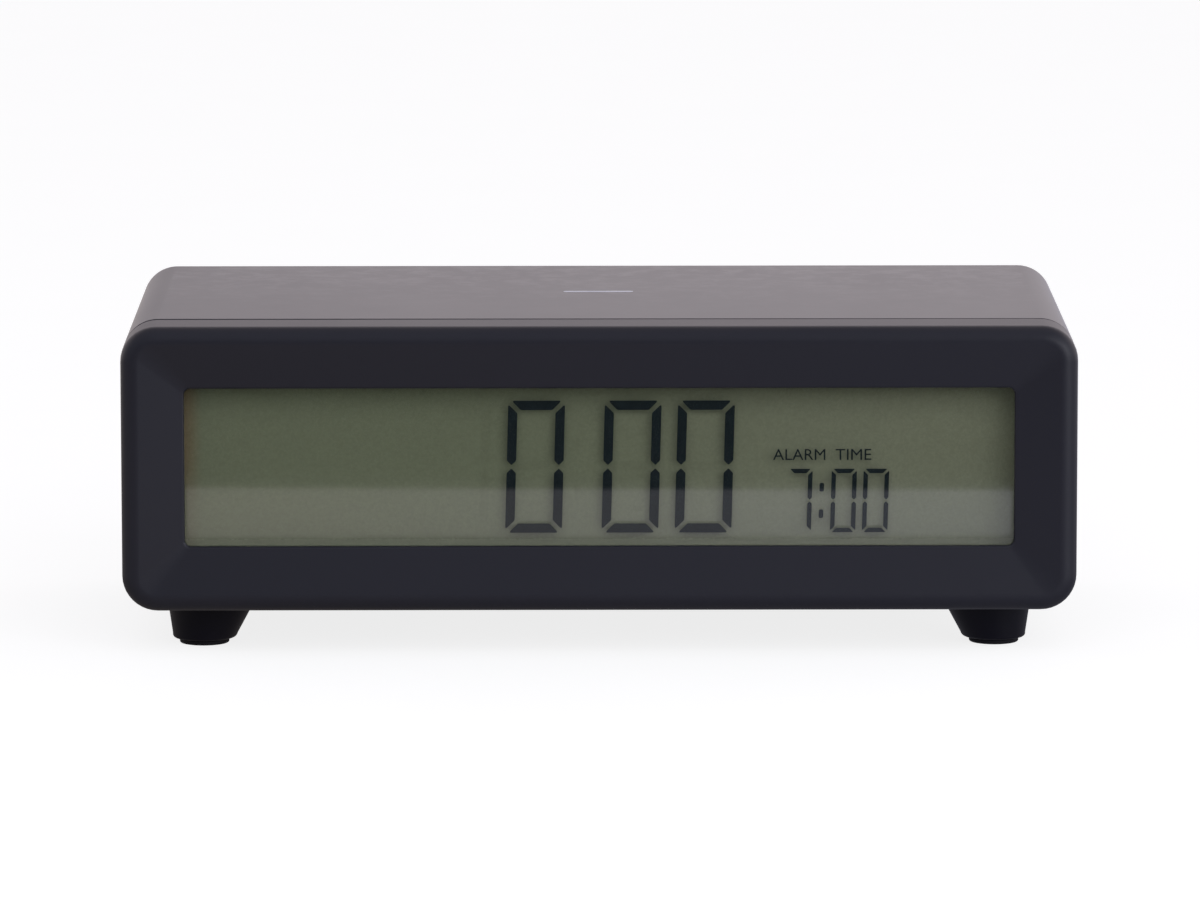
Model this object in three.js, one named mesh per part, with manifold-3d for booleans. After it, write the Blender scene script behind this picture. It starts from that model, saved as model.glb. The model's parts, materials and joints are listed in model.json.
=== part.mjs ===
// A digital alarm clock: a charcoal sleeve on four splayed feet, with a wide display behind a deep bezel.
// The top of the sleeve is one long press plate, hinged at the back, that works the snooze switch.
// Millimetres, +Z up. The display faces -Y with +X to its right; the origin is on the table, mid-case.
import * as THREE from "three";
import { mergeVertices } from "three/addons/utils/BufferGeometryUtils.js";
import Module from "manifold-3d";

const wasm = await Module();
wasm.setup();

// Case
const CASE_WIDTH = 160;
const CASE_HEIGHT = 48.2;
const CASE_DEPTH = 82;
const CORNER_RADIUS = 6;
const WALL = 2;

// Clearances: round a piece, between resting faces, at the open joint behind the bezel, past a screw's tip
const FIT = 0.3;
const SEAT = 0.1;
const SEAM = 0.5;
const TIP_SPARE = 1;

// Bezel: a deep frame with a rolled front edge, sloping in to the window
const BEZEL_DEPTH = 10;
const BEZEL_ROLL = 2.5;
const BORDER_SIDE = 10.55;
const BORDER_TOP = 10.85;
const WINDOW_RADIUS = 1.1;
const WINDOW_RECESS = 2;
const WINDOW_LIP = 1;
const BOSS_RADIUS = 1.8;

// Display stack, from the window back to the board
const LENS_THICK = 1.5;
const LENS_OVERLAP = 1.6;
const GLASS_THICK = 1.1;
const GLASS_OVERLAP = 1.2;
const GLASS_LEDGE = 2.4;
const REFLECTOR_THICK = 0.3;
const GUIDE_THICK = 2.5;
const GUIDE_STOPS_SHORT = 1.5;
const HOLDER_WALL = 1.3;
const ZEBRA_THICK = 1.6;
const ZEBRA_END = 9;
const LED_HEIGHT = 4;
const BOARD_THICK = 1.6;
const BOARD_SIDE_ROOM = 1.2;
const CHIP_RADIUS = 6.5;
const CHIP_HEIGHT = 1.8;
const CHIP_FROM_SIDE = 40;
const CHIP_DROP = 3.6;
const CRYSTAL_RADIUS = 1;
const CRYSTAL_LENGTH = 6;

// Screws: one small pattern for the boards and the back, one larger pattern for the feet
const SCREW_RADIUS = 1;
const SCREW_HEAD_RADIUS = 1.8;
const SCREW_HEAD = 1.3;
const FOOT_SCREW_RADIUS = 1.2;
const FOOT_SCREW_HEAD_RADIUS = 2.6;
const FOOT_SCREW_HEAD = 1.8;

// A screw's tip and the rim and top of its head, as shares of its own radius, head height and head radius
const TIP_SHARE = 0.6;
const HEAD_RIM_SHARE = 0.55;
const HEAD_TOP_SHARE = 0.7;

// Snooze plate, the deck under it, and its switch
const SKIRT = 12;
const GROOVE = 1.5;
const DECK_DROP = 8.2;
const DECK_THICK = 1.8;
const DECK_RIM = 1.6;
const RIM_LAP = 4.5;
const RIM_RISE = 4;
const LEDGE_HEIGHT = 2;
const LEDGE_LENGTH = 12;
const PIVOT_FROM_BACK = 8;
const PIVOT_RISE = 4;
const PIN_RADIUS = 1;
const PIN_RUNNING = 0.2;
const EAR_RADIUS = 2.4;
const EAR_THICK = 1.9;
const SPRING_FROM_SIDE = 35;
const SPRING_SETBACK = 7;
const SPRING_RADIUS = 2.8;
const SPRING_WIRE = 0.6;
const SPRING_TURNS = 4;
const PEG_RADIUS = 1.9;
const PEG_HEIGHT = 2.2;
const PUSH_RIB_DROP = 2.6;
const PUSH_RIB_LENGTH = 12;
const SWITCH_WIDTH = 7;
const SWITCH_DEPTH = 5;
const SWITCH_HEIGHT = 5;
const PLUNGER_RADIUS = 1.3;
const PLUNGER_SHOWS = 2.2;
const PLUNGER_LENGTH = 4.2;
const PLUNGER_TRAVEL = 1.3;

// Feet: short tapered legs whose outer sides stand nearly upright, each on a rubber pad
const FOOT_HEIGHT = 8;
const FOOT_TOP_RADIUS = 7.62;
const FOOT_END_RADIUS = 5.5;
const FOOT_END_ROUND = 0.7;
const FOOT_LEAN = 1.35;
const FOOT_FROM_SIDE = 13.05;
const FOOT_FROM_FRONT = 18;
const PAD_RADIUS = 4.2;
const PAD_HEIGHT = 0.8;
const PAD_ROUND = 0.35;
const PAD_PEG_RADIUS = 1.8;
const PAD_PEG_HEIGHT = 1.8;

// Battery bay for two AA cells, opening downwards, and its door
const CELL_RADIUS = 7.25;
const CELL_LENGTH = 49.5;
const NUB_RADIUS = 2.75;
const NUB_LENGTH = 1;
const CELL_GAP = 0.6;
const NEGATIVE_ROOM = 4.2;
const POSITIVE_ROOM = 1.6;
const BAY_WALL = 1.6;
const BAY_LEDGE = 1.5;
const BAY_BEHIND = 4.5;
const DOOR_THICK = 1.8;
const DOOR_TAB_WIDTH = 8;
const DOOR_TAB_REACH = 2;
const DOOR_TAB_THICK = 0.9;
const DOOR_TAB_SPREAD = 36;
const DOOR_SWING_ROOM = 4;
const LATCH_WIDTH = 12;
const LATCH_LENGTH = 8;
const LATCH_SLIT = 0.8;
const CONTACT_THICK = 0.4;
const CONTACT_WIDTH = 10;
const CONTACT_TAB_WIDTH = 3.6;
const CONTACT_TAB_RISE = 2.8;
const CONTACT_BUMP_RADIUS = 2.2;
const CONTACT_WIRE = 0.5;
const CONTACT_TURNS = 3;
const CONTACT_SPRING_BASE = 3.6;
const CONTACT_SPRING_TIP = 2.3;
const LEAD_RADIUS = 0.6;
const LEAD_STRAIGHT = 2.5;
const LEAD_BEND = 8;
const LEAD_SWING = 5;

// Back panel and its controls
const COVER_THICK = 2;
const COVER_INSET = 2;
const COVER_BOSS_RADIUS = 2.4;
const COVER_BOSS_LENGTH = 7;
const COVER_UPPER_FROM_SIDE = 22;
const COVER_LOWER_FROM_SIDE = 14;
const CONTROLS_DROP = 10.1;
const BUTTON_RADIUS = 3;
const BUTTON_SHOWS = 1.2;
const BUTTON_FLANGE = 1;
const BUTTON_FLANGE_THICK = 1.4;
const BUTTON_TRAVEL = 0.8;
const BUTTON_PITCH = 12;
const BUTTONS_FROM_SIDE = 30;
const KEYPAD_THICK = 0.8;
const KEYPAD_MARGIN = 4.5;
const DOME_RADIUS = 2.6;
const DOME_STOP = 1;
const CONTROL_BOARD_HEIGHT = 15;
const CONTROL_BOARD_MARGIN = 7;
const STAKE_RADIUS = 1.4;
const STAKE_PEG_RADIUS = 0.9;
const SLIDER_PAST_BUTTONS = 17;
const SLIDER_TRAVEL = 4;
const SLIDER_WIDTH = 3.2;
const SLIDER_HEIGHT = 3.2;
const SLIDER_SHOWS = 1;
const SLIDER_DEPTH = 1.6;
const SLIDER_BODY_WALL = 1.6;
const BUZZER_RADIUS = 10;
const BUZZER_THICK = 4.5;
const BUZZER_HOLE = 2;
const BUZZER_FROM_SIDE = 35;
const SLOT_WIDTH = 1.6;
const SLOT_LENGTH = 14;
const SLOT_PITCH = 3.4;
const SLOT_COUNT = 5;
const SLOT_END_FLAT = 0.16;
const RIBBON_WIDTH = 10;
const RIBBON_THICK = 0.4;
const RIBBON_PAST_FIRST_BUTTON = 25;
const RIBBON_SAG = 4;

// How finely round shapes are cut
const CORNER_STEPS = 8;
const ROLL_STEPS = 5;
const FOOT_ROUND_STEPS = 2;
const SLOT_STEPS = 2;
const ROUND_SIDES = 24;
const SMALL_SIDES = 10;
const WIRE_SIDES = 5;
const COIL_STEPS = 8;
const LEAD_STEPS = 3;
const LEAD_SIDES = 8;

// How far a cutting shape runs past the face it opens
const OVERCUT = 1;

// Planes and lines that several pieces share
const halfWidth = CASE_WIDTH / 2;
const frontY = -CASE_DEPTH / 2;
const backY = CASE_DEPTH / 2;
const baseZ = FOOT_HEIGHT;
const topZ = FOOT_HEIGHT + CASE_HEIGHT;
const midZ = FOOT_HEIGHT + CASE_HEIGHT / 2;
const floorZ = baseZ + WALL;
const plateUnderZ = topZ - WALL;
const innerX = halfWidth - WALL;
const sleeveFrontY = frontY + BEZEL_DEPTH + SEAM;
const coverFrontY = backY - COVER_INSET - COVER_THICK;
const coverBackY = backY - COVER_INSET;
const windowHalf = halfWidth - BORDER_SIDE;
const windowHalfZ = CASE_HEIGHT / 2 - BORDER_TOP;
const tongueTopZ = floorZ + FIT + WALL - SEAM;
const skirtEdgeZ = topZ - SKIRT;
const trayEdgeZ = skirtEdgeZ - GROOVE;
const deckTopZ = plateUnderZ - DECK_DROP;
const deckLowZ = deckTopZ - DECK_THICK;
const controlsZ = deckLowZ - CONTROLS_DROP;

// Materials, with the photographed colours
const finish = (color, roughness, metalness = 0) =>
  new THREE.MeshStandardMaterial({ color, roughness, metalness });
const charcoal = finish(0x2b2a31, 0.55);
const darkPlastic = finish(0x1c1b20, 0.6);
const rubber = finish(0x141318, 0.85);
const whitePlastic = finish(0xd8d8d2, 0.5);
const clear = finish(0xe8ece6, 0.05);
clear.transparent = true;
clear.opacity = 0.3;
const displayGreen = finish(0x7d8468, 0.35);
const circuitGreen = finish(0x1f5a34, 0.45);
const epoxy = finish(0x0c0c0d, 0.3);
const steel = finish(0xb9bbbd, 0.3, 1);
const cellJacket = finish(0x3a4a5c, 0.4);
const redWire = finish(0xa82020, 0.5);
const blackWire = finish(0x151515, 0.5);
const greyCable = finish(0x9a9a98, 0.5);

// Closed shapes as BufferGeometry, and boolean cuts and joins between them

function block(x0, x1, y0, y1, z0, z1) {
  const box = new THREE.BoxGeometry(x1 - x0, y1 - y0, z1 - z0);
  return box.translate((x0 + x1) / 2, (y0 + y1) / 2, (z0 + z1) / 2);
}

// A round bar from one end to the other along X, Y or Z; across holds its other two coordinates, in order.
function rod(axis, radius, from, to, across, sides = SMALL_SIDES) {
  const bar = new THREE.CylinderGeometry(radius, radius, to - from, sides);
  const middle = (from + to) / 2;
  if (axis === "x") return bar.rotateZ(-Math.PI / 2).translate(middle, across[0], across[1]);
  if (axis === "y") return bar.translate(across[0], middle, across[1]);
  return bar.rotateX(Math.PI / 2).translate(across[0], across[1], middle);
}

// A shape drawn in X and Z, extruded from y0 to y1. An arc gets twice as many facets as curveSegments says.
function alongY(shape, y0, y1, arcSteps = CORNER_STEPS) {
  const options = { depth: y1 - y0, bevelEnabled: false, curveSegments: arcSteps / 2 };
  return new THREE.ExtrudeGeometry(shape, options).rotateX(Math.PI / 2).translate(0, y1, 0);
}

// A shape turned about an axis: profile points are radius and height, starting and ending on the axis.
function turned(profile, sides) {
  const points = profile.map(([radius, height]) => new THREE.Vector2(radius, height));
  return new THREE.LatheGeometry(points, sides);
}

function roundedShape(x0, x1, z0, z1, radius) {
  const shape = new THREE.Shape();
  shape.absarc(x1 - radius, z1 - radius, radius, 0, Math.PI / 2);
  shape.absarc(x0 + radius, z1 - radius, radius, Math.PI / 2, Math.PI);
  shape.absarc(x0 + radius, z0 + radius, radius, Math.PI, 1.5 * Math.PI);
  shape.absarc(x1 - radius, z0 + radius, radius, 1.5 * Math.PI, 2 * Math.PI);
  shape.closePath();
  return shape;
}

// A closed skin over rings of equally many points. A loop of rings has no ends; a row gets two flat ends.
function skin(rings, loop = false) {
  const count = rings[0].length;
  const index = [];
  const spans = loop ? rings.length : rings.length - 1;
  for (let r = 0; r < spans; r++) {
    const here = r * count;
    const there = ((r + 1) % rings.length) * count;
    for (let i = 0; i < count; i++) {
      const next = (i + 1) % count;
      index.push(here + i, here + next, there + next, here + i, there + next, there + i);
    }
  }
  if (!loop) {
    const last = (rings.length - 1) * count;
    for (let i = 1; i < count - 1; i++) {
      index.push(0, i + 1, i);
      index.push(last, last + i, last + i + 1);
    }
  }
  const geometry = new THREE.BufferGeometry().setFromPoints(rings.flat());
  geometry.setIndex(index);
  return facingOut(geometry);
}

function facingOut(geometry) {
  const at = geometry.getAttribute("position");
  const corners = geometry.index.array;
  const [a, b, c] = [new THREE.Vector3(), new THREE.Vector3(), new THREE.Vector3()];
  let volume = 0;
  for (let i = 0; i < corners.length; i += 3) {
    a.fromBufferAttribute(at, corners[i]);
    b.fromBufferAttribute(at, corners[i + 1]);
    c.fromBufferAttribute(at, corners[i + 2]);
    volume += a.dot(b.cross(c));
  }
  if (volume < 0) geometry.setIndex([...corners].reverse());
  return geometry;
}

function circleRing(radius, z, centreX, centreY, sides) {
  return Array.from({ length: sides }, (_, i) => {
    const angle = (i / sides) * 2 * Math.PI;
    return new THREE.Vector3(centreX + radius * Math.cos(angle), centreY + radius * Math.sin(angle), z);
  });
}

// A wire coiled about Z from z0 to z1, its radius running from one value to the other.
function coil(startRadius, endRadius, z0, z1, turns, wire) {
  const steps = Math.round(turns * COIL_STEPS);
  const rings = [];
  for (let s = 0; s <= steps; s++) {
    const share = s / steps;
    const around = share * turns * 2 * Math.PI;
    const radius = startRadius + (endRadius - startRadius) * share;
    const outward = new THREE.Vector3(Math.cos(around), Math.sin(around), 0);
    const centre = outward.clone().multiplyScalar(radius).setZ(z0 + (z1 - z0) * share);
    rings.push(
      Array.from({ length: WIRE_SIDES }, (_, i) => {
        const angle = (i / WIRE_SIDES) * 2 * Math.PI;
        const spot = centre.clone().addScaledVector(outward, (wire / 2) * Math.cos(angle));
        return spot.setZ(spot.z + (wire / 2) * Math.sin(angle));
      }),
    );
  }
  return skin(rings);
}

// A round lead along points chosen by hand.
function lead(points, radius) {
  const path = new THREE.CatmullRomCurve3(points.map(([x, y, z]) => new THREE.Vector3(x, y, z)));
  const section = new THREE.Shape();
  section.absarc(0, 0, radius, 0, 2 * Math.PI);
  const steps = LEAD_STEPS * points.length;
  const options = { steps, extrudePath: path, curveSegments: LEAD_SIDES / 2, bevelEnabled: false };
  return new THREE.ExtrudeGeometry(section, options);
}

function solid(geometry) {
  const bare = geometry.index ? geometry.toNonIndexed() : geometry.clone();
  bare.deleteAttribute("normal");
  bare.deleteAttribute("uv");
  const merged = mergeVertices(bare, 1e-4);
  const mesh = new wasm.Mesh({
    numProp: 3,
    vertProperties: merged.getAttribute("position").array,
    triVerts: new Uint32Array(merged.index.array),
  });
  return new wasm.Manifold(mesh);
}

// The body with every piece in added joined to it, and then every piece in cut taken away.
function shaped(body, { added = [], cut = [] }) {
  let made = solid(body);
  for (const shape of added) made = made.add(solid(shape));
  for (const shape of cut) made = made.subtract(solid(shape));
  const mesh = made.getMesh();
  const geometry = new THREE.BufferGeometry();
  geometry.setAttribute("position", new THREE.BufferAttribute(mesh.vertProperties, 3));
  geometry.setIndex(new THREE.BufferAttribute(mesh.triVerts, 1));
  return geometry;
}

function piece(group, name, geometry, material) {
  geometry.computeVertexNormals();
  const mesh = new THREE.Mesh(geometry, material);
  mesh.name = name;
  group.add(mesh);
  return mesh;
}

const clock = new THREE.Group();
function assembly() {
  const group = new THREE.Group();
  clock.add(group);
  return group;
}

// A pan-head screw pointing along -Z, with its head's seat at the origin.
function screw(radius, headRadius, head, length) {
  return turned(
    [
      [0, -length],
      [radius * TIP_SHARE, -length],
      [radius, -length + radius],
      [radius, 0],
      [headRadius, 0],
      [headRadius, head * HEAD_RIM_SHARE],
      [headRadius * HEAD_TOP_SHARE, head],
      [0, head],
    ],
    SMALL_SIDES,
  ).rotateX(Math.PI / 2);
}

// Display stack: depths run from the back of the bezel's lip towards the board
const display = assembly();
let reached = frontY + WINDOW_RECESS + WINDOW_LIP;
function layer(thick, gap) {
  const front = reached + gap;
  reached = front + thick;
  return { front, back: reached };
}
const lens = layer(LENS_THICK, SEAT);
const frontGlass = layer(GLASS_THICK, FIT);
const rearGlass = layer(GLASS_THICK, SEAT);
const reflector = layer(REFLECTOR_THICK, SEAT);
const guide = layer(GUIDE_THICK, SEAT);
const holderBack = layer(HOLDER_WALL, SEAT);
const board = layer(BOARD_THICK, SEAT);

const glassHalf = windowHalf + GLASS_OVERLAP;
const glassTopZ = midZ + windowHalfZ + GLASS_OVERLAP;
const glassLowZ = midZ - windowHalfZ - GLASS_OVERLAP;
const ledgeZ = glassLowZ - GLASS_LEDGE;
const pocketHalf = glassHalf + FIT;
const holderHalf = pocketHalf + HOLDER_WALL;
const guideHalf = windowHalf - GUIDE_STOPS_SHORT;
const bossX = (holderHalf + innerX) / 2;
const bossRise = skirtEdgeZ + 3 * FIT + SCREW_HEAD_RADIUS - midZ;
const sides = [-1, 1];
const spanOf = (side, near, far) => (side < 0 ? [-far, -near] : [near, far]);
const bossPlaces = sides.flatMap((side) =>
  sides.map((level) => ({ x: side * bossX, z: midZ + level * bossRise, side, level })),
);
const bossFloorY = frontY + WINDOW_RECESS + 2 * WINDOW_LIP;
const screwHole = SCREW_RADIUS + PIN_RUNNING;
const placeName = ({ side, level }) => `${level > 0 ? "upper" : "lower"}_${side < 0 ? "left" : "right"}`;

// Front bezel: one profile swept round the case's outline, with four screw bosses behind it
function bezelRing(insetX, insetZ, depth, radius) {
  const halfX = halfWidth - insetX - radius;
  const halfZ = CASE_HEIGHT / 2 - insetZ - radius;
  const ring = [];
  [[1, 1], [-1, 1], [-1, -1], [1, -1]].forEach(([sideX, sideZ], quarter) => {
    for (let i = 0; i <= CORNER_STEPS; i++) {
      const angle = ((quarter + i / CORNER_STEPS) * Math.PI) / 2;
      const x = sideX * halfX + radius * Math.cos(angle);
      const z = midZ + sideZ * halfZ + radius * Math.sin(angle);
      ring.push(new THREE.Vector3(x, frontY + depth, z));
    }
  });
  return ring;
}

function frontBezel() {
  const even = (inset, depth) => bezelRing(inset, inset, depth, CORNER_RADIUS - inset);
  const lipBack = WINDOW_RECESS + WINDOW_LIP;
  const rings = [even(0, BEZEL_DEPTH)];
  for (let i = 0; i <= ROLL_STEPS; i++) {
    const angle = ((i / ROLL_STEPS) * Math.PI) / 2;
    rings.push(even(BEZEL_ROLL * (1 - Math.cos(angle)), BEZEL_ROLL * (1 - Math.sin(angle))));
  }
  rings.push(bezelRing(BORDER_SIDE, BORDER_TOP, WINDOW_RECESS, WINDOW_RADIUS));
  rings.push(bezelRing(BORDER_SIDE, BORDER_TOP, lipBack, WINDOW_RADIUS));
  rings.push(even(WALL, lipBack), even(WALL, BEZEL_DEPTH));
  const bossEnd = holderBack.front - SEAT;
  const root = frontY + lipBack - WINDOW_LIP / 2;
  return shaped(skin(rings, true), {
    added: bossPlaces.map(({ x, z }) => rod("y", BOSS_RADIUS, root, bossEnd, [x, z])),
    cut: bossPlaces.map(({ x, z }) => rod("y", screwHole, bossFloorY, bossEnd + OVERCUT, [x, z])),
  });
}
piece(display, "front_bezel", frontBezel(), charcoal);

// Window and liquid-crystal glass: the front glass is taller, so its ledge can carry the contacts
const lensHalf = windowHalf + LENS_OVERLAP;
const lensHalfZ = windowHalfZ + LENS_OVERLAP;
const lensShape = roundedShape(-lensHalf, lensHalf, midZ - lensHalfZ, midZ + lensHalfZ, WINDOW_RADIUS);
piece(display, "display_window", alongY(lensShape, lens.front, lens.back), clear);
const sheet = (span, half, lowZ) => block(-half, half, span.front, span.back, lowZ, glassTopZ);
piece(display, "lcd_front_glass", sheet(frontGlass, glassHalf, ledgeZ), displayGreen);
piece(display, "lcd_rear_glass", sheet(rearGlass, glassHalf, glassLowZ), displayGreen);
piece(display, "lcd_reflector", sheet(reflector, glassHalf, glassLowZ), displayGreen);
piece(display, "light_guide", sheet(guide, guideHalf, glassLowZ), clear);

// Rubber contact strip from the glass ledge to the board, and the lamp at the right end of the light guide
const zebraHalf = glassHalf - ZEBRA_END;
const zebraTopZ = glassLowZ - FIT;
const zebraLowZ = zebraTopZ - ZEBRA_THICK;
piece(
  display,
  "zebra_strip",
  block(-zebraHalf, zebraHalf, frontGlass.back + SEAT, board.front - SEAT, zebraLowZ, zebraTopZ),
  rubber,
);
const lampX = guideHalf + SEAT;
const lampEndX = pocketHalf - FIT;
const lampHalfZ = LED_HEIGHT / 2;
piece(
  display,
  "backlight_led",
  block(lampX, lampEndX, guide.front, board.front - SEAT, midZ - lampHalfZ, midZ + lampHalfZ),
  whitePlastic,
);

// Holder: a shallow tray round the glass and the light guide, with an ear over each bezel boss
function lcdHolder() {
  const lowZ = ledgeZ - FIT;
  const highZ = glassTopZ + FIT;
  const ears = bossPlaces.map(({ z, side }) => {
    const [x0, x1] = spanOf(side, pocketHalf, bossX + BOSS_RADIUS);
    return block(x0, x1, holderBack.front, holderBack.back, z - BOSS_RADIUS, z + BOSS_RADIUS);
  });
  const tray = block(
    -holderHalf, holderHalf, lens.back + SEAT, holderBack.back, lowZ - HOLDER_WALL, highZ + HOLDER_WALL,
  );
  const pocket = block(-pocketHalf, pocketHalf, lens.front, holderBack.front, lowZ, highZ);
  const zebraSlot = block(
    -zebraHalf - FIT, zebraHalf + FIT, guide.front, board.front, zebraLowZ - FIT, zebraTopZ + FIT,
  );
  const lampSlot = block(
    lampX - SEAT, lampEndX + SEAT, guide.front, board.front, midZ - lampHalfZ - FIT, midZ + lampHalfZ + FIT,
  );
  const holes = bossPlaces.map(({ x, z }) =>
    rod("y", screwHole, holderBack.front - OVERCUT, holderBack.back + OVERCUT, [x, z]),
  );
  return shaped(tray, { added: ears, cut: [pocket, zebraSlot, lampSlot, ...holes] });
}
piece(display, "lcd_holder", lcdHolder(), whitePlastic);

// Main board, clear of the pressed plate's corners, with its chip, crystal and four screws
const boardHalf = innerX - BOARD_SIDE_ROOM;
const boardLowZ = tongueTopZ + 2 * FIT;
const boardTopZ = plateUnderZ - PUSH_RIB_DROP - FIT;
const boardHoles = bossPlaces.map(({ x, z }) =>
  rod("y", screwHole, board.front - OVERCUT, board.back + OVERCUT, [x, z]),
);
piece(
  display,
  "main_board",
  shaped(block(-boardHalf, boardHalf, board.front, board.back, boardLowZ, boardTopZ), { cut: boardHoles }),
  circuitGreen,
);
for (const place of bossPlaces) {
  const length = board.back + SEAT - bossFloorY - TIP_SPARE;
  const made = piece(
    display,
    `board_screw_${placeName(place)}`,
    screw(SCREW_RADIUS, SCREW_HEAD_RADIUS, SCREW_HEAD, length),
    steel,
  );
  made.position.set(place.x, board.back + SEAT, place.z);
  made.rotation.x = -Math.PI / 2;
}
// The chip is a drop of resin: its dome is given as shares of its radius and height.
const chipDome = [[1, 0], [0.86, 0.6], [0.5, 0.92]];
const chip = piece(
  display,
  "driver_chip",
  turned(
    [
      [0, 0],
      ...chipDome.map(([out, up]) => [CHIP_RADIUS * out, CHIP_HEIGHT * up]),
      [0, CHIP_HEIGHT],
    ],
    ROUND_SIDES,
  ),
  epoxy,
);
chip.position.set(CHIP_FROM_SIDE - halfWidth, board.back + SEAT, midZ - CHIP_DROP);
const crystalY = board.back + SEAT + CRYSTAL_RADIUS;
const crystalX = -CHIP_RADIUS;
piece(
  display,
  "quartz_crystal",
  rod("x", CRYSTAL_RADIUS, crystalX - CRYSTAL_LENGTH, crystalX, [crystalY, midZ - CHIP_RADIUS]),
  steel,
);

// Sleeve: a U-shaped tray below and the press plate above, with the same rounded corners
function channel(faceZ, edgeZ) {
  const up = Math.sign(edgeZ - faceZ);
  const side = (inset) => {
    const radius = CORNER_RADIUS - inset;
    const points = [new THREE.Vector2(halfWidth - inset, edgeZ)];
    for (let i = 0; i <= CORNER_STEPS; i++) {
      const angle = ((i / CORNER_STEPS) * Math.PI) / 2;
      const x = halfWidth - CORNER_RADIUS + radius * Math.cos(angle);
      const z = faceZ + up * (CORNER_RADIUS - radius * Math.sin(angle));
      points.push(new THREE.Vector2(x, z));
    }
    return points;
  };
  const mirrored = (points) => points.map(({ x, y }) => new THREE.Vector2(-x, y));
  const outer = side(0);
  const inner = side(WALL);
  return new THREE.Shape([...outer, ...mirrored(outer).reverse(), ...mirrored(inner), ...inner.reverse()]);
}

const sleeve = assembly();
const deckFrontY = board.back + SEAT + SCREW_HEAD + 2 * FIT;
const deckBackY = coverFrontY - FIT;
const rimOuterX = innerX - SEAM;
const rimInnerX = rimOuterX - DECK_RIM;
const rimLowZ = trayEdgeZ - RIM_LAP;
const pivotY = backY - PIVOT_FROM_BACK;
const pivotZ = deckTopZ + PIVOT_RISE;
const springY = deckFrontY + SPRING_SETBACK;
const springX = halfWidth - SPRING_FROM_SIDE;
const switchFrontY = board.back + SEAT;
const plungerY = switchFrontY + SWITCH_DEPTH / 2;
const plungerTopZ = plateUnderZ - PUSH_RIB_DROP - FIT;
const switchTopZ = plungerTopZ - PLUNGER_SHOWS;

// Back controls: planes from the panel inwards
const flangeBackY = coverFrontY - SEAM;
const flangeFrontY = flangeBackY - BUTTON_FLANGE_THICK;
const domeTipY = flangeFrontY - FIT;
const keypadBackY = domeTipY - DOME_STOP - BUTTON_TRAVEL;
const keypadFrontY = keypadBackY - KEYPAD_THICK;
const controlBoardBackY = keypadFrontY - SEAT;
const controlBoardFrontY = controlBoardBackY - BOARD_THICK;
const buttonNames = ["time_button", "alarm_button", "hour_button", "minute_button"];
const firstButtonX = BUTTONS_FROM_SIDE - halfWidth;
const buttonX = (i) => firstButtonX + i * BUTTON_PITCH;
const lastButtonX = buttonX(buttonNames.length - 1);
const sliderX = lastButtonX + SLIDER_PAST_BUTTONS;
const buzzerX = halfWidth - BUZZER_FROM_SIDE;
const ribbonX = firstButtonX + RIBBON_PAST_FIRST_BUTTON;

// Battery bay: two cells side by side along X, with the door's pocket under them
const bayHalfX = (CELL_LENGTH + NUB_LENGTH + NEGATIVE_ROOM + POSITIVE_ROOM) / 2;
const bayHalfY = CELL_GAP / 2 + 2 * CELL_RADIUS + CELL_GAP;
const pocketHalfX = bayHalfX + BAY_LEDGE;
const pocketHalfY = bayHalfY + BAY_LEDGE;
const bayBackY = controlBoardFrontY - BAY_BEHIND;
const bayY = bayBackY - BAY_WALL - pocketHalfY;
const pocketTopZ = baseZ + DOOR_THICK + SEAT;
const cellZ = baseZ + DOOR_THICK + FIT + CELL_RADIUS;
const bayCeilingZ = cellZ + CELL_RADIUS + FIT;
const bayRoofZ = bayCeilingZ + BAY_WALL;
const cellY = CELL_RADIUS + CELL_GAP / 2;
const doorHalfX = pocketHalfX - FIT;
const doorHalfY = pocketHalfY - FIT;
const tabX = DOOR_TAB_SPREAD / 2;
const contactOuterX = bayHalfX - SEAT;
const contactInnerX = contactOuterX - CONTACT_THICK;
const contactTabHalf = CONTACT_TAB_WIDTH / 2;

// Feet
const padX = halfWidth - FOOT_FROM_SIDE;
const padY = -frontY - FOOT_FROM_FRONT;
const footTopX = padX - FOOT_LEAN;
const footTopY = padY - FOOT_LEAN;
const footPlaces = sides.flatMap((sideX) =>
  sides.map((sideY) => ({
    sideX,
    sideY,
    name: `${sideY < 0 ? "front" : "rear"}_${sideX < 0 ? "left" : "right"}`,
  })),
);

// Lower case: tray, battery bay, bosses for the back panel, ledges for the deck, and a tongue into the bezel
const lowerBossX = halfWidth - COVER_LOWER_FROM_SIDE;
const lowerBossZ = floorZ + 2 * SCREW_HEAD_RADIUS;
const upperBossX = halfWidth - COVER_UPPER_FROM_SIDE;
const upperBossZ = deckTopZ + COVER_BOSS_RADIUS + WALL / 2;
const bossFrontY = coverFrontY - COVER_BOSS_LENGTH;
const bossBackY = coverFrontY - SEAT;
const coverPilotY = bossFrontY + TIP_SPARE;

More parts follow.
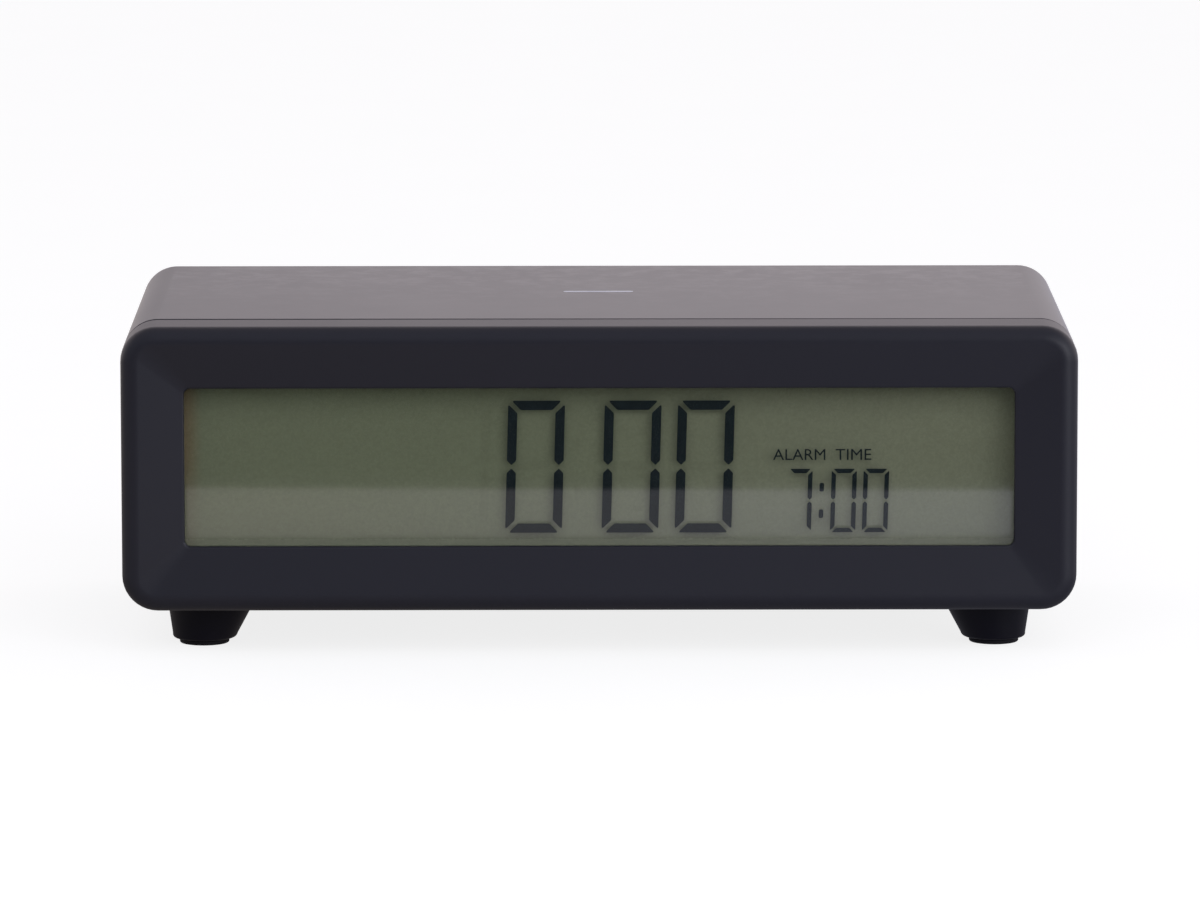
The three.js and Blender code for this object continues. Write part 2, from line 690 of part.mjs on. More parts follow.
function lowerCase() {
  const tray = alongY(channel(baseZ, trayEdgeZ), sleeveFrontY, backY);
  const bay = block(
    -pocketHalfX - BAY_WALL, pocketHalfX + BAY_WALL, bayY - pocketHalfY - BAY_WALL, bayBackY, baseZ, bayRoofZ,
  );
  const tongueHalf = innerX - CORNER_RADIUS - 2 * BOSS_RADIUS;
  const tongue = block(
    -tongueHalf, tongueHalf, sleeveFrontY - BEZEL_DEPTH / 2, sleeveFrontY + WALL, floorZ + FIT, tongueTopZ,
  );
  const tongueRoot = block(
    -tongueHalf, tongueHalf, sleeveFrontY, sleeveFrontY + WALL, floorZ - FIT, tongueTopZ,
  );
  const bosses = sides.flatMap((side) => {
    const x = side * lowerBossX;
    const half = COVER_BOSS_RADIUS / 2;
    return [
      rod("y", COVER_BOSS_RADIUS, bossFrontY, bossBackY, [x, lowerBossZ]),
      block(x - half, x + half, bossFrontY, bossBackY, floorZ - FIT, lowerBossZ - half),
    ];
  });
  const ledges = sides.flatMap((side) =>
    [deckFrontY, deckBackY - LEDGE_LENGTH].map((y) => {
      const [x0, x1] = spanOf(side, rimInnerX, innerX + FIT);
      const z = rimLowZ - SEAT;
      return block(x0, x1, y, y + LEDGE_LENGTH, z - LEDGE_HEIGHT, z);
    }),
  );
  const doorPocket = block(
    -pocketHalfX, pocketHalfX, bayY - pocketHalfY, bayY + pocketHalfY, baseZ - OVERCUT, pocketTopZ,
  );
  const cellRoom = block(-bayHalfX, bayHalfX, bayY - bayHalfY, bayY + bayHalfY, baseZ, bayCeilingZ);
  const tabSlots = sides.map((side) => {
    const half = DOOR_TAB_WIDTH / 2 + FIT;
    const x = side * tabX;
    const low = baseZ + DOOR_TAB_THICK / 2;
    const high = pocketTopZ + DOOR_SWING_ROOM;
    return block(x - half, x + half, bayY + bayHalfY - FIT, bayBackY + OVERCUT, low, high);
  });
  const contactSlots = sides.map((end) => {
    const half = contactTabHalf + FIT;
    const y = bayY + end * cellY;
    const low = bayCeilingZ - OVERCUT;
    return block(contactInnerX - FIT, bayHalfX + FIT, y - half, y + half, low, bayRoofZ + OVERCUT);
  });
  const footHoles = footPlaces.map(({ sideX, sideY }) => {
    const place = [sideX * footTopX, sideY * footTopY];
    return rod("z", FOOT_SCREW_RADIUS + FIT, baseZ - OVERCUT, floorZ + OVERCUT, place);
  });
  const pilots = sides.map((side) =>
    rod("y", screwHole, coverPilotY, bossBackY + OVERCUT, [side * lowerBossX, lowerBossZ]),
  );
  return shaped(tray, {
    added: [bay, tongue, tongueRoot, ...bosses, ...ledges],
    cut: [doorPocket, cellRoom, ...tabSlots, ...contactSlots, ...footHoles, ...pilots],
  });
}
piece(sleeve, "lower_case", lowerCase(), charcoal);

// Deck: closes the tray under the press plate and carries its hinge ears, springs and upper back bosses
function topDeck() {
  const deck = block(-rimOuterX, rimOuterX, deckFrontY, deckBackY, deckLowZ, deckTopZ);
  const rims = sides.flatMap((side) => {
    const [x0, x1] = spanOf(side, rimInnerX, rimOuterX);
    return [
      block(x0, x1, deckFrontY, deckBackY, rimLowZ, deckTopZ + RIM_RISE),
      block(x0, x1, board.back + FIT, deckFrontY + FIT, rimLowZ, skirtEdgeZ + FIT),
    ];
  });
  const ears = sides.flatMap((side) => {
    const [x0, x1] = spanOf(side, rimInnerX - EAR_THICK, rimInnerX + DECK_RIM / 2);
    return [
      rod("x", EAR_RADIUS, x0, x1, [pivotY, pivotZ], ROUND_SIDES),
      block(x0, x1, pivotY - EAR_RADIUS, pivotY + EAR_RADIUS, deckLowZ, pivotZ),
    ];
  });
  const pegs = sides.map((side) =>
    rod("z", PEG_RADIUS, deckLowZ, deckTopZ + PEG_HEIGHT, [side * springX, springY]),
  );
  const bosses = sides.flatMap((side) => {
    const x = side * upperBossX;
    return [
      rod("y", COVER_BOSS_RADIUS, bossFrontY, deckBackY, [x, upperBossZ]),
      block(x - COVER_BOSS_RADIUS, x + COVER_BOSS_RADIUS, bossFrontY, deckBackY, deckLowZ, upperBossZ),
    ];
  });
  const pinHoles = sides.map((side) => {
    const [x0, x1] = spanOf(side, rimInnerX - EAR_THICK - OVERCUT, rimOuterX + OVERCUT);
    return rod("x", PIN_RADIUS + PIN_RUNNING, x0, x1, [pivotY, pivotZ]);
  });
  const notchHalf = SWITCH_WIDTH / 2 + SEAM;
  const notchBackY = switchFrontY + SWITCH_DEPTH + SEAM;
  const switchNotch = block(
    -notchHalf, notchHalf, deckFrontY - OVERCUT, notchBackY, deckLowZ - OVERCUT, deckTopZ + OVERCUT,
  );
  const pilots = sides.map((side) =>
    rod("y", screwHole, coverPilotY, deckBackY + OVERCUT, [side * upperBossX, upperBossZ]),
  );
  return shaped(deck, {
    added: [...rims, ...ears, ...pegs, ...bosses],
    cut: [...pinHoles, switchNotch, ...pilots],
  });
}
piece(sleeve, "top_deck", topDeck(), darkPlastic);

// Press plate: the sleeve's top, its two skirts, hinge ears, spring pegs and the rib over the snooze switch
const snooze = assembly();
const plateEarOuter = rimInnerX - EAR_THICK - FIT;
const plateEarInner = plateEarOuter - EAR_THICK;

function snoozePlate() {
  const plate = alongY(channel(topZ, skirtEdgeZ), sleeveFrontY, backY);
  const ears = sides.flatMap((side) => {
    const [x0, x1] = spanOf(side, plateEarInner, plateEarOuter);
    return [
      rod("x", EAR_RADIUS, x0, x1, [pivotY, pivotZ], ROUND_SIDES),
      block(x0, x1, pivotY - EAR_RADIUS, pivotY + EAR_RADIUS, pivotZ, plateUnderZ + FIT),
    ];
  });
  const pegs = sides.map((side) =>
    rod("z", PEG_RADIUS, plateUnderZ - PEG_HEIGHT, plateUnderZ + FIT, [side * springX, springY]),
  );
  const rib = block(
    -PUSH_RIB_LENGTH / 2, PUSH_RIB_LENGTH / 2, plungerY - PLUNGER_RADIUS, plungerY + PLUNGER_RADIUS,
    plateUnderZ - PUSH_RIB_DROP, plateUnderZ + FIT,
  );
  const pinHoles = sides.map((side) => {
    const [x0, x1] = spanOf(side, plateEarInner - OVERCUT, plateEarOuter + OVERCUT);
    return rod("x", PIN_RADIUS + PIN_RUNNING, x0, x1, [pivotY, pivotZ]);
  });
  return shaped(plate, { added: [...ears, ...pegs, rib], cut: pinHoles });
}
piece(snooze, "snooze_plate", snoozePlate(), charcoal);

for (const side of sides) {
  const hand = side < 0 ? "left" : "right";
  const [x0, x1] = spanOf(side, plateEarInner - SEAM, rimOuterX - SEAM);
  piece(snooze, `pivot_pin_${hand}`, rod("x", PIN_RADIUS, x0, x1, [pivotY, pivotZ]), steel);
  const low = deckTopZ + SEAT + SPRING_WIRE / 2;
  const high = plateUnderZ - SEAT - SPRING_WIRE / 2;
  const spring = piece(
    snooze,
    `snooze_spring_${hand}`,
    coil(SPRING_RADIUS, SPRING_RADIUS, low, high, SPRING_TURNS, SPRING_WIRE),
    steel,
  );
  spring.position.set(side * springX, springY, 0);
}
const plungerLowZ = plungerTopZ - PLUNGER_LENGTH;
const switchHalf = SWITCH_WIDTH / 2;
const switchBackY = switchFrontY + SWITCH_DEPTH;
const switchBody = block(
  -switchHalf, switchHalf, switchFrontY, switchBackY, switchTopZ - SWITCH_HEIGHT, switchTopZ,
);
const plungerBore = rod(
  "z", PLUNGER_RADIUS + FIT, plungerLowZ - PLUNGER_TRAVEL - FIT, switchTopZ + OVERCUT, [0, plungerY],
);
piece(snooze, "snooze_switch", shaped(switchBody, { cut: [plungerBore] }), darkPlastic);
const plunger = rod("z", PLUNGER_RADIUS, plungerLowZ, plungerTopZ, [0, plungerY]);
piece(snooze, "snooze_plunger", plunger, whitePlastic);

// Feet: each a leaning cone with a screw from inside the case and a pegged rubber pad below
const feet = assembly();
const screwReach = FOOT_HEIGHT - PAD_HEIGHT - PAD_PEG_HEIGHT - 2 * FIT;
for (const { sideX, sideY, name } of footPlaces) {
  const foot = new THREE.Group();
  foot.position.set(sideX * padX, sideY * padY, 0);
  feet.add(foot);
  const topX = -sideX * FOOT_LEAN;
  const topY = -sideY * FOOT_LEAN;
  const endZ = PAD_HEIGHT + SEAT;
  const roundRings = Array.from({ length: FOOT_ROUND_STEPS + 1 }, (_, i) => {
    const angle = ((i / FOOT_ROUND_STEPS) * Math.PI) / 2;
    const radius = FOOT_END_RADIUS - FOOT_END_ROUND * (1 - Math.sin(angle));
    return circleRing(radius, endZ + FOOT_END_ROUND * (1 - Math.cos(angle)), 0, 0, ROUND_SIDES);
  });
  const leg = skin([...roundRings, circleRing(FOOT_TOP_RADIUS, baseZ - SEAT, topX, topY, ROUND_SIDES)]);
  const pegHole = rod("z", PAD_PEG_RADIUS + FIT, 0, PAD_HEIGHT + PAD_PEG_HEIGHT + FIT, [0, 0]);
  const pilot = rod("z", FOOT_SCREW_RADIUS + PIN_RUNNING, baseZ - screwReach - SEAT, baseZ, [topX, topY]);
  piece(foot, `foot_${name}`, shaped(leg, { cut: [pegHole, pilot] }), darkPlastic);
  const pad = turned(
    [
      [0, 0],
      [PAD_RADIUS - PAD_ROUND, 0],
      [PAD_RADIUS, PAD_ROUND],
      [PAD_RADIUS, PAD_HEIGHT],
      [PAD_PEG_RADIUS, PAD_HEIGHT],
      [PAD_PEG_RADIUS, PAD_HEIGHT + PAD_PEG_HEIGHT],
      [0, PAD_HEIGHT + PAD_PEG_HEIGHT],
    ],
    ROUND_SIDES,
  ).rotateX(Math.PI / 2);
  piece(foot, `foot_pad_${name}`, pad, rubber);
  const length = WALL + screwReach - SEAT;
  const fixing = piece(
    foot,
    `foot_screw_${name}`,
    screw(FOOT_SCREW_RADIUS, FOOT_SCREW_HEAD_RADIUS, FOOT_SCREW_HEAD, length),
    steel,
  );
  fixing.position.set(topX, topY, floorZ + SEAT);
}

// Back panel, set in from the sleeve's back edge, with its four screws
const back = assembly();
const coverHalf = innerX - FIT;
const coverLowZ = floorZ + FIT;
const coverTopZ = plateUnderZ - 2 * FIT;
const stakePlaces = [firstButtonX + BUTTON_PITCH / 2, sliderX].flatMap((x) =>
  sides.map((level) => ({ x, z: controlsZ + level * (CONTROL_BOARD_HEIGHT / 2 - STAKE_RADIUS) })),
);
const coverScrews = sides.flatMap((side) => [
  { x: side * upperBossX, z: upperBossZ, side, level: 1 },
  { x: side * lowerBossX, z: lowerBossZ, side, level: -1 },
]);
const sliderHalfTravel = SLIDER_TRAVEL / 2;
const sliderRoom = sliderHalfTravel + SLIDER_WIDTH / 2 + FIT;

function rearCover() {
  const outline = roundedShape(-coverHalf, coverHalf, coverLowZ, coverTopZ, CORNER_RADIUS - WALL - FIT);
  const panel = alongY(outline, coverFrontY, coverBackY);
  const inside = coverFrontY - OVERCUT;
  const outside = coverBackY + OVERCUT;
  const buttonHoles = buttonNames.map((_, i) =>
    rod("y", BUTTON_RADIUS + FIT, inside, outside, [buttonX(i), controlsZ], ROUND_SIDES),
  );
  const sliderSlot = block(
    sliderX - sliderRoom, sliderX + sliderRoom, inside, outside,
    controlsZ - SLIDER_HEIGHT / 2 - FIT, controlsZ + SLIDER_HEIGHT / 2 + FIT,
  );
  const soundSlots = Array.from({ length: SLOT_COUNT }, (_, i) => {
    const x = buzzerX + (i - (SLOT_COUNT - 1) / 2) * SLOT_PITCH;
    const half = SLOT_WIDTH / 2;
    const round = half - SLOT_END_FLAT / 2;
    const rise = SLOT_LENGTH / 2;
    const slot = roundedShape(x - half, x + half, controlsZ - rise, controlsZ + rise, round);
    return alongY(slot, inside, outside, SLOT_STEPS);
  });
  const screwHoles = coverScrews.flatMap(({ x, z }) => [
    rod("y", screwHole, inside, outside, [x, z]),
    rod("y", SCREW_HEAD_RADIUS + FIT, coverBackY - COVER_THICK / 2, outside, [x, z]),
  ]);
  const stakes = stakePlaces.flatMap(({ x, z }) => [
    rod("y", STAKE_RADIUS, controlBoardBackY + SEAT, coverFrontY + FIT, [x, z]),
    rod("y", STAKE_PEG_RADIUS, controlBoardFrontY - SEAM, controlBoardBackY + FIT, [x, z]),
  ]);
  return shaped(panel, { added: stakes, cut: [...buttonHoles, sliderSlot, ...soundSlots, ...screwHoles] });
}
piece(back, "rear_cover", rearCover(), charcoal);

for (const place of coverScrews) {
  const seatY = coverBackY - COVER_THICK / 2 + SEAT;
  const made = piece(
    back,
    `rear_screw_${placeName(place)}`,
    screw(SCREW_RADIUS, SCREW_HEAD_RADIUS, SCREW_HEAD, seatY - coverPilotY - TIP_SPARE),
    steel,
  );
  made.position.set(place.x, seatY, place.z);
  made.rotation.x = -Math.PI / 2;
}

// Control board on the panel's stakes, the rubber keypad on it, and the four button caps
const controlLeft = firstButtonX - CONTROL_BOARD_MARGIN;
const sliderBodyHalf = sliderRoom + SLIDER_BODY_WALL;
const controlRight = sliderX + sliderBodyHalf + FIT;
const controlHalfZ = CONTROL_BOARD_HEIGHT / 2;
const controlBoard = block(
  controlLeft, controlRight, controlBoardFrontY, controlBoardBackY,
  controlsZ - controlHalfZ, controlsZ + controlHalfZ,
);
const stakeHoles = stakePlaces.map(({ x, z }) => {
  const radius = STAKE_PEG_RADIUS + PIN_RUNNING;
  return rod("y", radius, controlBoardFrontY - OVERCUT, controlBoardBackY + OVERCUT, [x, z]);
});
piece(back, "control_board", shaped(controlBoard, { cut: stakeHoles }), circuitGreen);

const keypadSheet = block(
  firstButtonX - KEYPAD_MARGIN, lastButtonX + KEYPAD_MARGIN, keypadFrontY, keypadBackY,
  controlsZ - KEYPAD_MARGIN, controlsZ + KEYPAD_MARGIN,
);
const domes = buttonNames.map((_, i) =>
  rod("y", DOME_RADIUS, keypadFrontY + SEAT, domeTipY, [buttonX(i), controlsZ], ROUND_SIDES),
);
piece(back, "keypad_mat", shaped(keypadSheet, { added: domes }), rubber);

const capLength = coverBackY + BUTTON_SHOWS - flangeFrontY;
const capRound = BUTTON_SHOWS / 3;
for (const [i, name] of buttonNames.entries()) {
  const cap = turned(
    [
      [0, 0],
      [BUTTON_RADIUS + BUTTON_FLANGE, 0],
      [BUTTON_RADIUS + BUTTON_FLANGE, BUTTON_FLANGE_THICK],
      [BUTTON_RADIUS, BUTTON_FLANGE_THICK],
      [BUTTON_RADIUS, capLength - capRound],
      [BUTTON_RADIUS - capRound, capLength],
      [0, capLength],
    ],
    ROUND_SIDES,
  );
  piece(back, name, cap, darkPlastic).position.set(buttonX(i), flangeFrontY, controlsZ);
}

// Alarm switch: a housing on the control board and the knob that slides in it
const sliderMouthY = coverFrontY - FIT;
const sliderFloorY = sliderMouthY - SLIDER_DEPTH;
const sliderBody = block(
  sliderX - sliderBodyHalf, sliderX + sliderBodyHalf, controlBoardBackY + SEAT, sliderMouthY,
  controlsZ - SLIDER_HEIGHT / 2 - SLIDER_BODY_WALL, controlsZ + SLIDER_HEIGHT / 2 + SLIDER_BODY_WALL,
);
const sliderTrack = block(
  sliderX - sliderRoom, sliderX + sliderRoom, sliderFloorY - FIT, sliderMouthY + OVERCUT,
  controlsZ - SLIDER_HEIGHT / 2 - FIT, controlsZ + SLIDER_HEIGHT / 2 + FIT,
);
const stakeRelief = stakePlaces.map(({ x, z }) =>
  rod("y", STAKE_RADIUS + FIT, controlBoardBackY, coverFrontY + OVERCUT, [x, z]),
);
piece(back, "alarm_switch_body", shaped(sliderBody, { cut: [sliderTrack, ...stakeRelief] }), steel);
const knobX = sliderX - sliderHalfTravel;
piece(
  back,
  "alarm_switch_knob",
  block(
    knobX - SLIDER_WIDTH / 2, knobX + SLIDER_WIDTH / 2, sliderFloorY, coverBackY + SLIDER_SHOWS,
    controlsZ - SLIDER_HEIGHT / 2, controlsZ + SLIDER_HEIGHT / 2,
  ),
  whitePlastic,
);

// Buzzer behind the sound slots
const buzzer = piece(
  back,
  "buzzer",
  turned(
    [
      [0, 0],
      [BUZZER_RADIUS, 0],
      [BUZZER_RADIUS, BUZZER_THICK],
      [BUZZER_HOLE, BUZZER_THICK],
      [BUZZER_HOLE, BUZZER_THICK / 2],
      [0, BUZZER_THICK / 2],
    ],
    ROUND_SIDES,
  ),
  epoxy,
);
buzzer.position.set(buzzerX, coverFrontY - FIT - BUZZER_THICK, controlsZ);

// Flat cable from the control board to the main board, sagging over the battery bay
function ribbonCable() {
  const startY = controlBoardFrontY - FIT;
  const endY = board.back + FIT;
  const endZ = controlsZ + controlHalfZ / 2;
  const upper = new THREE.QuadraticBezierCurve(
    new THREE.Vector2(startY, endZ),
    new THREE.Vector2((startY + endY) / 2, endZ - 2 * RIBBON_SAG),
    new THREE.Vector2(endY, endZ),
  ).getPoints(CORNER_STEPS);
  const lower = upper.map(({ x, y }) => new THREE.Vector2(x, y - RIBBON_THICK)).reverse();
  const strip = new THREE.ExtrudeGeometry(new THREE.Shape([...upper, ...lower]), {
    depth: RIBBON_WIDTH,
    bevelEnabled: false,
  });
  return strip.rotateX(Math.PI / 2).rotateZ(Math.PI / 2).translate(ribbonX - RIBBON_WIDTH / 2, 0, 0);
}
piece(back, "ribbon_cable", ribbonCable(), greyCable);

// Batteries: the front cell's nub points right and the rear cell's left
const power = assembly();
power.position.set(0, bayY, 0);
const nubEndX = bayHalfX - POSITIVE_ROOM;
const flatEndX = nubEndX - NUB_LENGTH - CELL_LENGTH;
const cells = [
  { name: "battery_cell_front", y: -cellY, turn: -Math.PI / 2, x: flatEndX },
  { name: "battery_cell_rear", y: cellY, turn: Math.PI / 2, x: -flatEndX },
];
for (const { name, y, turn, x } of cells) {
  const cell = turned(
    [
      [0, 0],
      [CELL_RADIUS - FIT, 0],
      [CELL_RADIUS, FIT],
      [CELL_RADIUS, CELL_LENGTH - FIT],
      [CELL_RADIUS - FIT, CELL_LENGTH],
      [NUB_RADIUS, CELL_LENGTH],
      [NUB_RADIUS, CELL_LENGTH + NUB_LENGTH],
      [0, CELL_LENGTH + NUB_LENGTH],
    ],
    ROUND_SIDES,
  );
  const made = piece(power, name, cell, cellJacket);
  made.position.set(x, y, cellZ);
  made.rotation.z = turn;
}

// Contacts: sprung where a cell's flat end presses, bumped where its nub presses
const contactHalf = CONTACT_WIDTH / 2;
const contactTopZ = bayRoofZ + CONTACT_TAB_RISE;
const flatPlate = (y0, y1) =>
  block(contactInnerX, contactOuterX, y0, y1, cellZ - contactHalf, cellZ + contactHalf);
const contactTab = (y) =>
  block(contactInnerX, contactOuterX, y - contactTabHalf, y + contactTabHalf, cellZ, contactTopZ);
const bump = (y) =>
  rod("x", CONTACT_BUMP_RADIUS, nubEndX + SEAT, contactOuterX - SEAT, [y, cellZ], ROUND_SIDES);
function contactSpring(y) {
  const reach = contactInnerX + flatEndX - SEAT - CONTACT_WIRE / 2;
  const wound = coil(CONTACT_SPRING_BASE, CONTACT_SPRING_TIP, 0, reach, CONTACT_TURNS, CONTACT_WIRE);
  return wound.rotateY(-Math.PI / 2).translate(contactInnerX, y, cellZ);
}
const positive = shaped(flatPlate(-cellY - contactHalf, -cellY + contactHalf), {
  added: [contactTab(-cellY), bump(-cellY)],
});
piece(power, "contact_positive", positive, steel);
const negative = shaped(flatPlate(cellY - contactHalf, cellY + contactHalf), {
  added: [contactTab(cellY), contactSpring(cellY)],
});
piece(power, "contact_negative", negative, steel);
const bridge = shaped(flatPlate(-cellY - contactHalf, cellY + contactHalf), {
  added: [bump(-cellY), contactSpring(cellY)],
});
piece(power, "contact_bridge", bridge, steel).rotation.z = Math.PI;

// Battery door: hinged on two tabs at its back edge, with a springy latch cut into its front edge
function batteryDoor() {
  const panel = block(-doorHalfX, doorHalfX, -doorHalfY, doorHalfY, baseZ, baseZ + DOOR_THICK);
  const tabs = sides.map((side) => {
    const x = side * tabX;
    return block(
      x - DOOR_TAB_WIDTH / 2, x + DOOR_TAB_WIDTH / 2, doorHalfY - FIT, doorHalfY + DOOR_TAB_REACH,
      baseZ + DOOR_THICK - DOOR_TAB_THICK, baseZ + DOOR_THICK,
    );
  });
  const slits = sides.map((side) => {
    const x = (side * LATCH_WIDTH) / 2;
    const half = LATCH_SLIT / 2;
    const high = baseZ + DOOR_THICK + OVERCUT;
    return block(x - half, x + half, -doorHalfY - OVERCUT, -doorHalfY + LATCH_LENGTH, baseZ - OVERCUT, high);
  });
  return shaped(panel, { added: tabs, cut: slits });
}
piece(power, "battery_door", batteryDoor(), charcoal);

// Leads from the contact tabs to the main board
const leadZ = contactTopZ - contactTabHalf + LEAD_RADIUS / 2;
const leadX = (contactInnerX + contactOuterX) / 2;
const boardEnd = board.back + FIT - bayY;
const runZ = leadZ + 2 * LEAD_RADIUS;
function leadRun(tabY, swing) {
  const startY = tabY - contactTabHalf - FIT;
  return [
    [leadX, startY, leadZ],
    [leadX, startY - LEAD_STRAIGHT, leadZ],
    [leadX + swing, startY - LEAD_BEND, runZ],
    [leadX + swing, boardEnd + LEAD_STRAIGHT, runZ],
    [leadX + swing, boardEnd, runZ],
  ];
}
piece(power, "battery_lead_red", lead(leadRun(-cellY, -LEAD_SWING), LEAD_RADIUS), redWire);
piece(power, "battery_lead_black", lead(leadRun(cellY, LEAD_SWING), LEAD_RADIUS), blackWire);

export default clock;
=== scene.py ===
import json
import math

import bmesh
import bpy
from mathutils import Matrix, Vector

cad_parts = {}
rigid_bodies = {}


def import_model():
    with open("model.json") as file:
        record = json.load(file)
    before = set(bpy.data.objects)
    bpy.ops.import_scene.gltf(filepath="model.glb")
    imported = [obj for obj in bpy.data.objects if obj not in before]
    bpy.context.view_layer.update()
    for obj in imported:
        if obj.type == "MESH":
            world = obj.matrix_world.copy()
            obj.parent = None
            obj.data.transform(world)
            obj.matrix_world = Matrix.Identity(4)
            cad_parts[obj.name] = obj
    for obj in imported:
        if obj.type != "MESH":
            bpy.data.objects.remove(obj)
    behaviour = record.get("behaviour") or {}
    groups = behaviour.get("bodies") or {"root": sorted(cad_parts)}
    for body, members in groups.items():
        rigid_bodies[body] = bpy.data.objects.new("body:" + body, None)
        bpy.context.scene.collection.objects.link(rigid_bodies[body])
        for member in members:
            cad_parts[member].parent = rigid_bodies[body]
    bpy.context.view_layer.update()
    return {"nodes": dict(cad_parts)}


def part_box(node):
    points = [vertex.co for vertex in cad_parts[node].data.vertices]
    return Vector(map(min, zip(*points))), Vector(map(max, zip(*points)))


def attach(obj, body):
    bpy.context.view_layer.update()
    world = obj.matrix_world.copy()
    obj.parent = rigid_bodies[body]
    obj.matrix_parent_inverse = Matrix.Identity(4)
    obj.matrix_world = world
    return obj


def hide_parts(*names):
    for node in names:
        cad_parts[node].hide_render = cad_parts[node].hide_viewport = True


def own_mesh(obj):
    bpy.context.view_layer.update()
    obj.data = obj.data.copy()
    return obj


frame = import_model()

# Camera: a long lens about 1.4 m in front of the clock and a little above it, looking slightly down.
# Its place, turn and focal length were fitted to the edges of the case in the 1200 x 905 photograph.
MM = 0.001
IMAGE_WIDTH = 1200
FOCAL_PIXELS = 8334
SENSOR_WIDTH = 36
CAMERA_PLACE = Vector((-5.2, -1417.5, 240.0)) * MM
CAMERA_PITCH = math.radians(-8.469)
CAMERA_YAW = math.radians(-0.2205)
CAMERA_ROLL = math.radians(0.051)


def add_object(name, data):
    """A new object in the scene."""
    made = bpy.data.objects.new(name, data)
    bpy.context.scene.collection.objects.link(made)
    return made


lens = bpy.data.cameras.new("camera")
lens.sensor_width = SENSOR_WIDTH
lens.lens = FOCAL_PIXELS / IMAGE_WIDTH * SENSOR_WIDTH
camera = add_object("camera", lens)
turned_about = Matrix.Rotation(CAMERA_YAW, 4, "Z") @ Matrix.Rotation(CAMERA_PITCH, 4, "X")
level_view = Matrix.Rotation(CAMERA_ROLL, 4, "Y") @ Matrix.Rotation(math.pi / 2, 4, "X")
camera.matrix_world = Matrix.Translation(CAMERA_PLACE) @ turned_about @ level_view
bpy.context.scene.camera = camera
bpy.context.scene.view_settings.view_transform = "Standard"


# Studio: a pale table, a white surround behind it, one large softbox above and in front of the clock and a
# small panel to its right. The room before the table and overhead is dim, so that the dark frame and the
# window reflect little, and brighter to the right and far left. In reflections the table glows as painted
# light, most far behind the clock; near the clock it is painted darker, a painted shadow of the clock.
NOISE_SPAN = (0.3, 0.7)
WHITE = (1.0, 1.0, 1.0, 1.0)
FLOOR_HALF = 4.5
FLOOR_GLOW = 0.82
FLOOR_CELLS = 30.0
FLOOR_SEEN = (0.2955, 0.30)
FLOOR_BOUNCE = (0.55, 0.55, 0.55, 1.0)
TABLE_FRONT_Y = -0.2236
TABLE_FRONT_SKEW = 0.025
TABLE_EDGE_BLUR = 0.004
TABLE_SIDES = (-0.10, 0.10)
TABLE_GLOSSES = (0.40, 0.47)
TABLE_TINTS = ((1.05, 0.95, 0.93, 1.0), (0.95, 0.95, 1.13, 1.0))
TABLE_SHADE_SPAN = (-0.165, -0.045)
TABLE_SHADED = 0.54
TABLE_FAR_SPAN = (0.15, 0.35)
TABLE_FAR = 1.20
BEHIND_SPAN = (-0.25, 0.45)
BACKDROP_COLOUR = (1.01, 0.922, 0.968, 1.0)
BACKDROP_SIDES = (-0.08, 0.01)
BACKDROP_LEVELS = (0.918, 1.15)
ROOM_COLOUR = (0.94, 0.96, 1.08, 1.0)
ROOM_SIDES = (-0.05, 0.66)
ROOM_LEVELS = (0.06, 0.80)
FAR_LEFT_SPAN = (-0.75, -0.25)
FAR_LEFT_LEVEL = 0.30
OVERHEAD_SPAN = (0.40, 0.80)
OVERHEAD_LEVEL = 0.34
LIGHT_AIM = Vector((0.0, 0.0, 0.03))
LIGHT_COLOUR = (0.97, 0.98, 1.05)
SOFTBOX_PLACE = Vector((0.10, -1.0, 0.58))
SOFTBOX_SIZE = (1.3, 0.9)
SOFTBOX_WATTS = 7.0
PANEL_PLACE = Vector((0.48, -0.48, 0.16))
PANEL_SIZE = (0.36, 0.32)
PANEL_WATTS = 0.6


def node(tree, kind, inputs=None, **settings):
    """The outputs of a new node in a shader tree, its settings made and its inputs linked or set."""
    made = tree.nodes.new("ShaderNode" + kind)
    for label, value in settings.items():
        setattr(made, label, value)
    for label, value in (inputs or {}).items():
        if isinstance(value, bpy.types.NodeSocket):
            tree.links.new(value, made.inputs[label])
        else:
            made.inputs[label].default_value = value
    return made.outputs


def arithmetic(tree, operation, *values):
    """The output of a Math node worked on the values."""
    return node(tree, "Math", dict(enumerate(values)), operation=operation)[0]


def ramp(tree, value, start, end, low=0.0, high=1.0):
    """The value carried smoothly from one span to another and held at its ends."""
    inputs = {"Value": value, "From Min": start, "From Max": end, "To Min": low, "To Max": high}
    return node(tree, "MapRange", inputs, interpolation_type="SMOOTHSTEP")["Result"]


def blend(tree, factor, first, second, kind="RGBA"):
    """A Mix node's output between two colours, or between two numbers for kind FLOAT."""
    near, far, out = (6, 7, 2) if kind == "RGBA" else (2, 3, 0)
    return node(tree, "Mix", {0: factor, near: first, far: second}, data_type=kind)[out]


def object_place(tree):
    """The object's own x, y and z, in metres."""
    return node(tree, "SeparateXYZ", {0: node(tree, "TexCoord")["Object"]})


def noise(tree, scale, detail=2.0, roughness=0.55, stretch=None):
    """Noise laid over the object's own metres, scale being its cells in a metre."""
    place = node(tree, "TexCoord")["Object"]
    if stretch:
        place = node(tree, "Mapping", {"Vector": place, "Scale": stretch})[0]
    inputs = {"Vector": place, "Scale": scale, "Detail": detail, "Roughness": roughness}
    return node(tree, "TexNoise", inputs)["Fac"]


def new_material(name):
    """An empty material and its node tree."""
    material = bpy.data.materials.new(name)
    material.use_nodes = True
    material.node_tree.nodes.clear()
    return material, material.node_tree


def coat(tree, inputs, kind="BsdfPrincipled", output="OutputMaterial"):
    """Gives a tree its shader, put out as the surface."""
    node(tree, output, {"Surface": node(tree, kind, inputs)[0]})


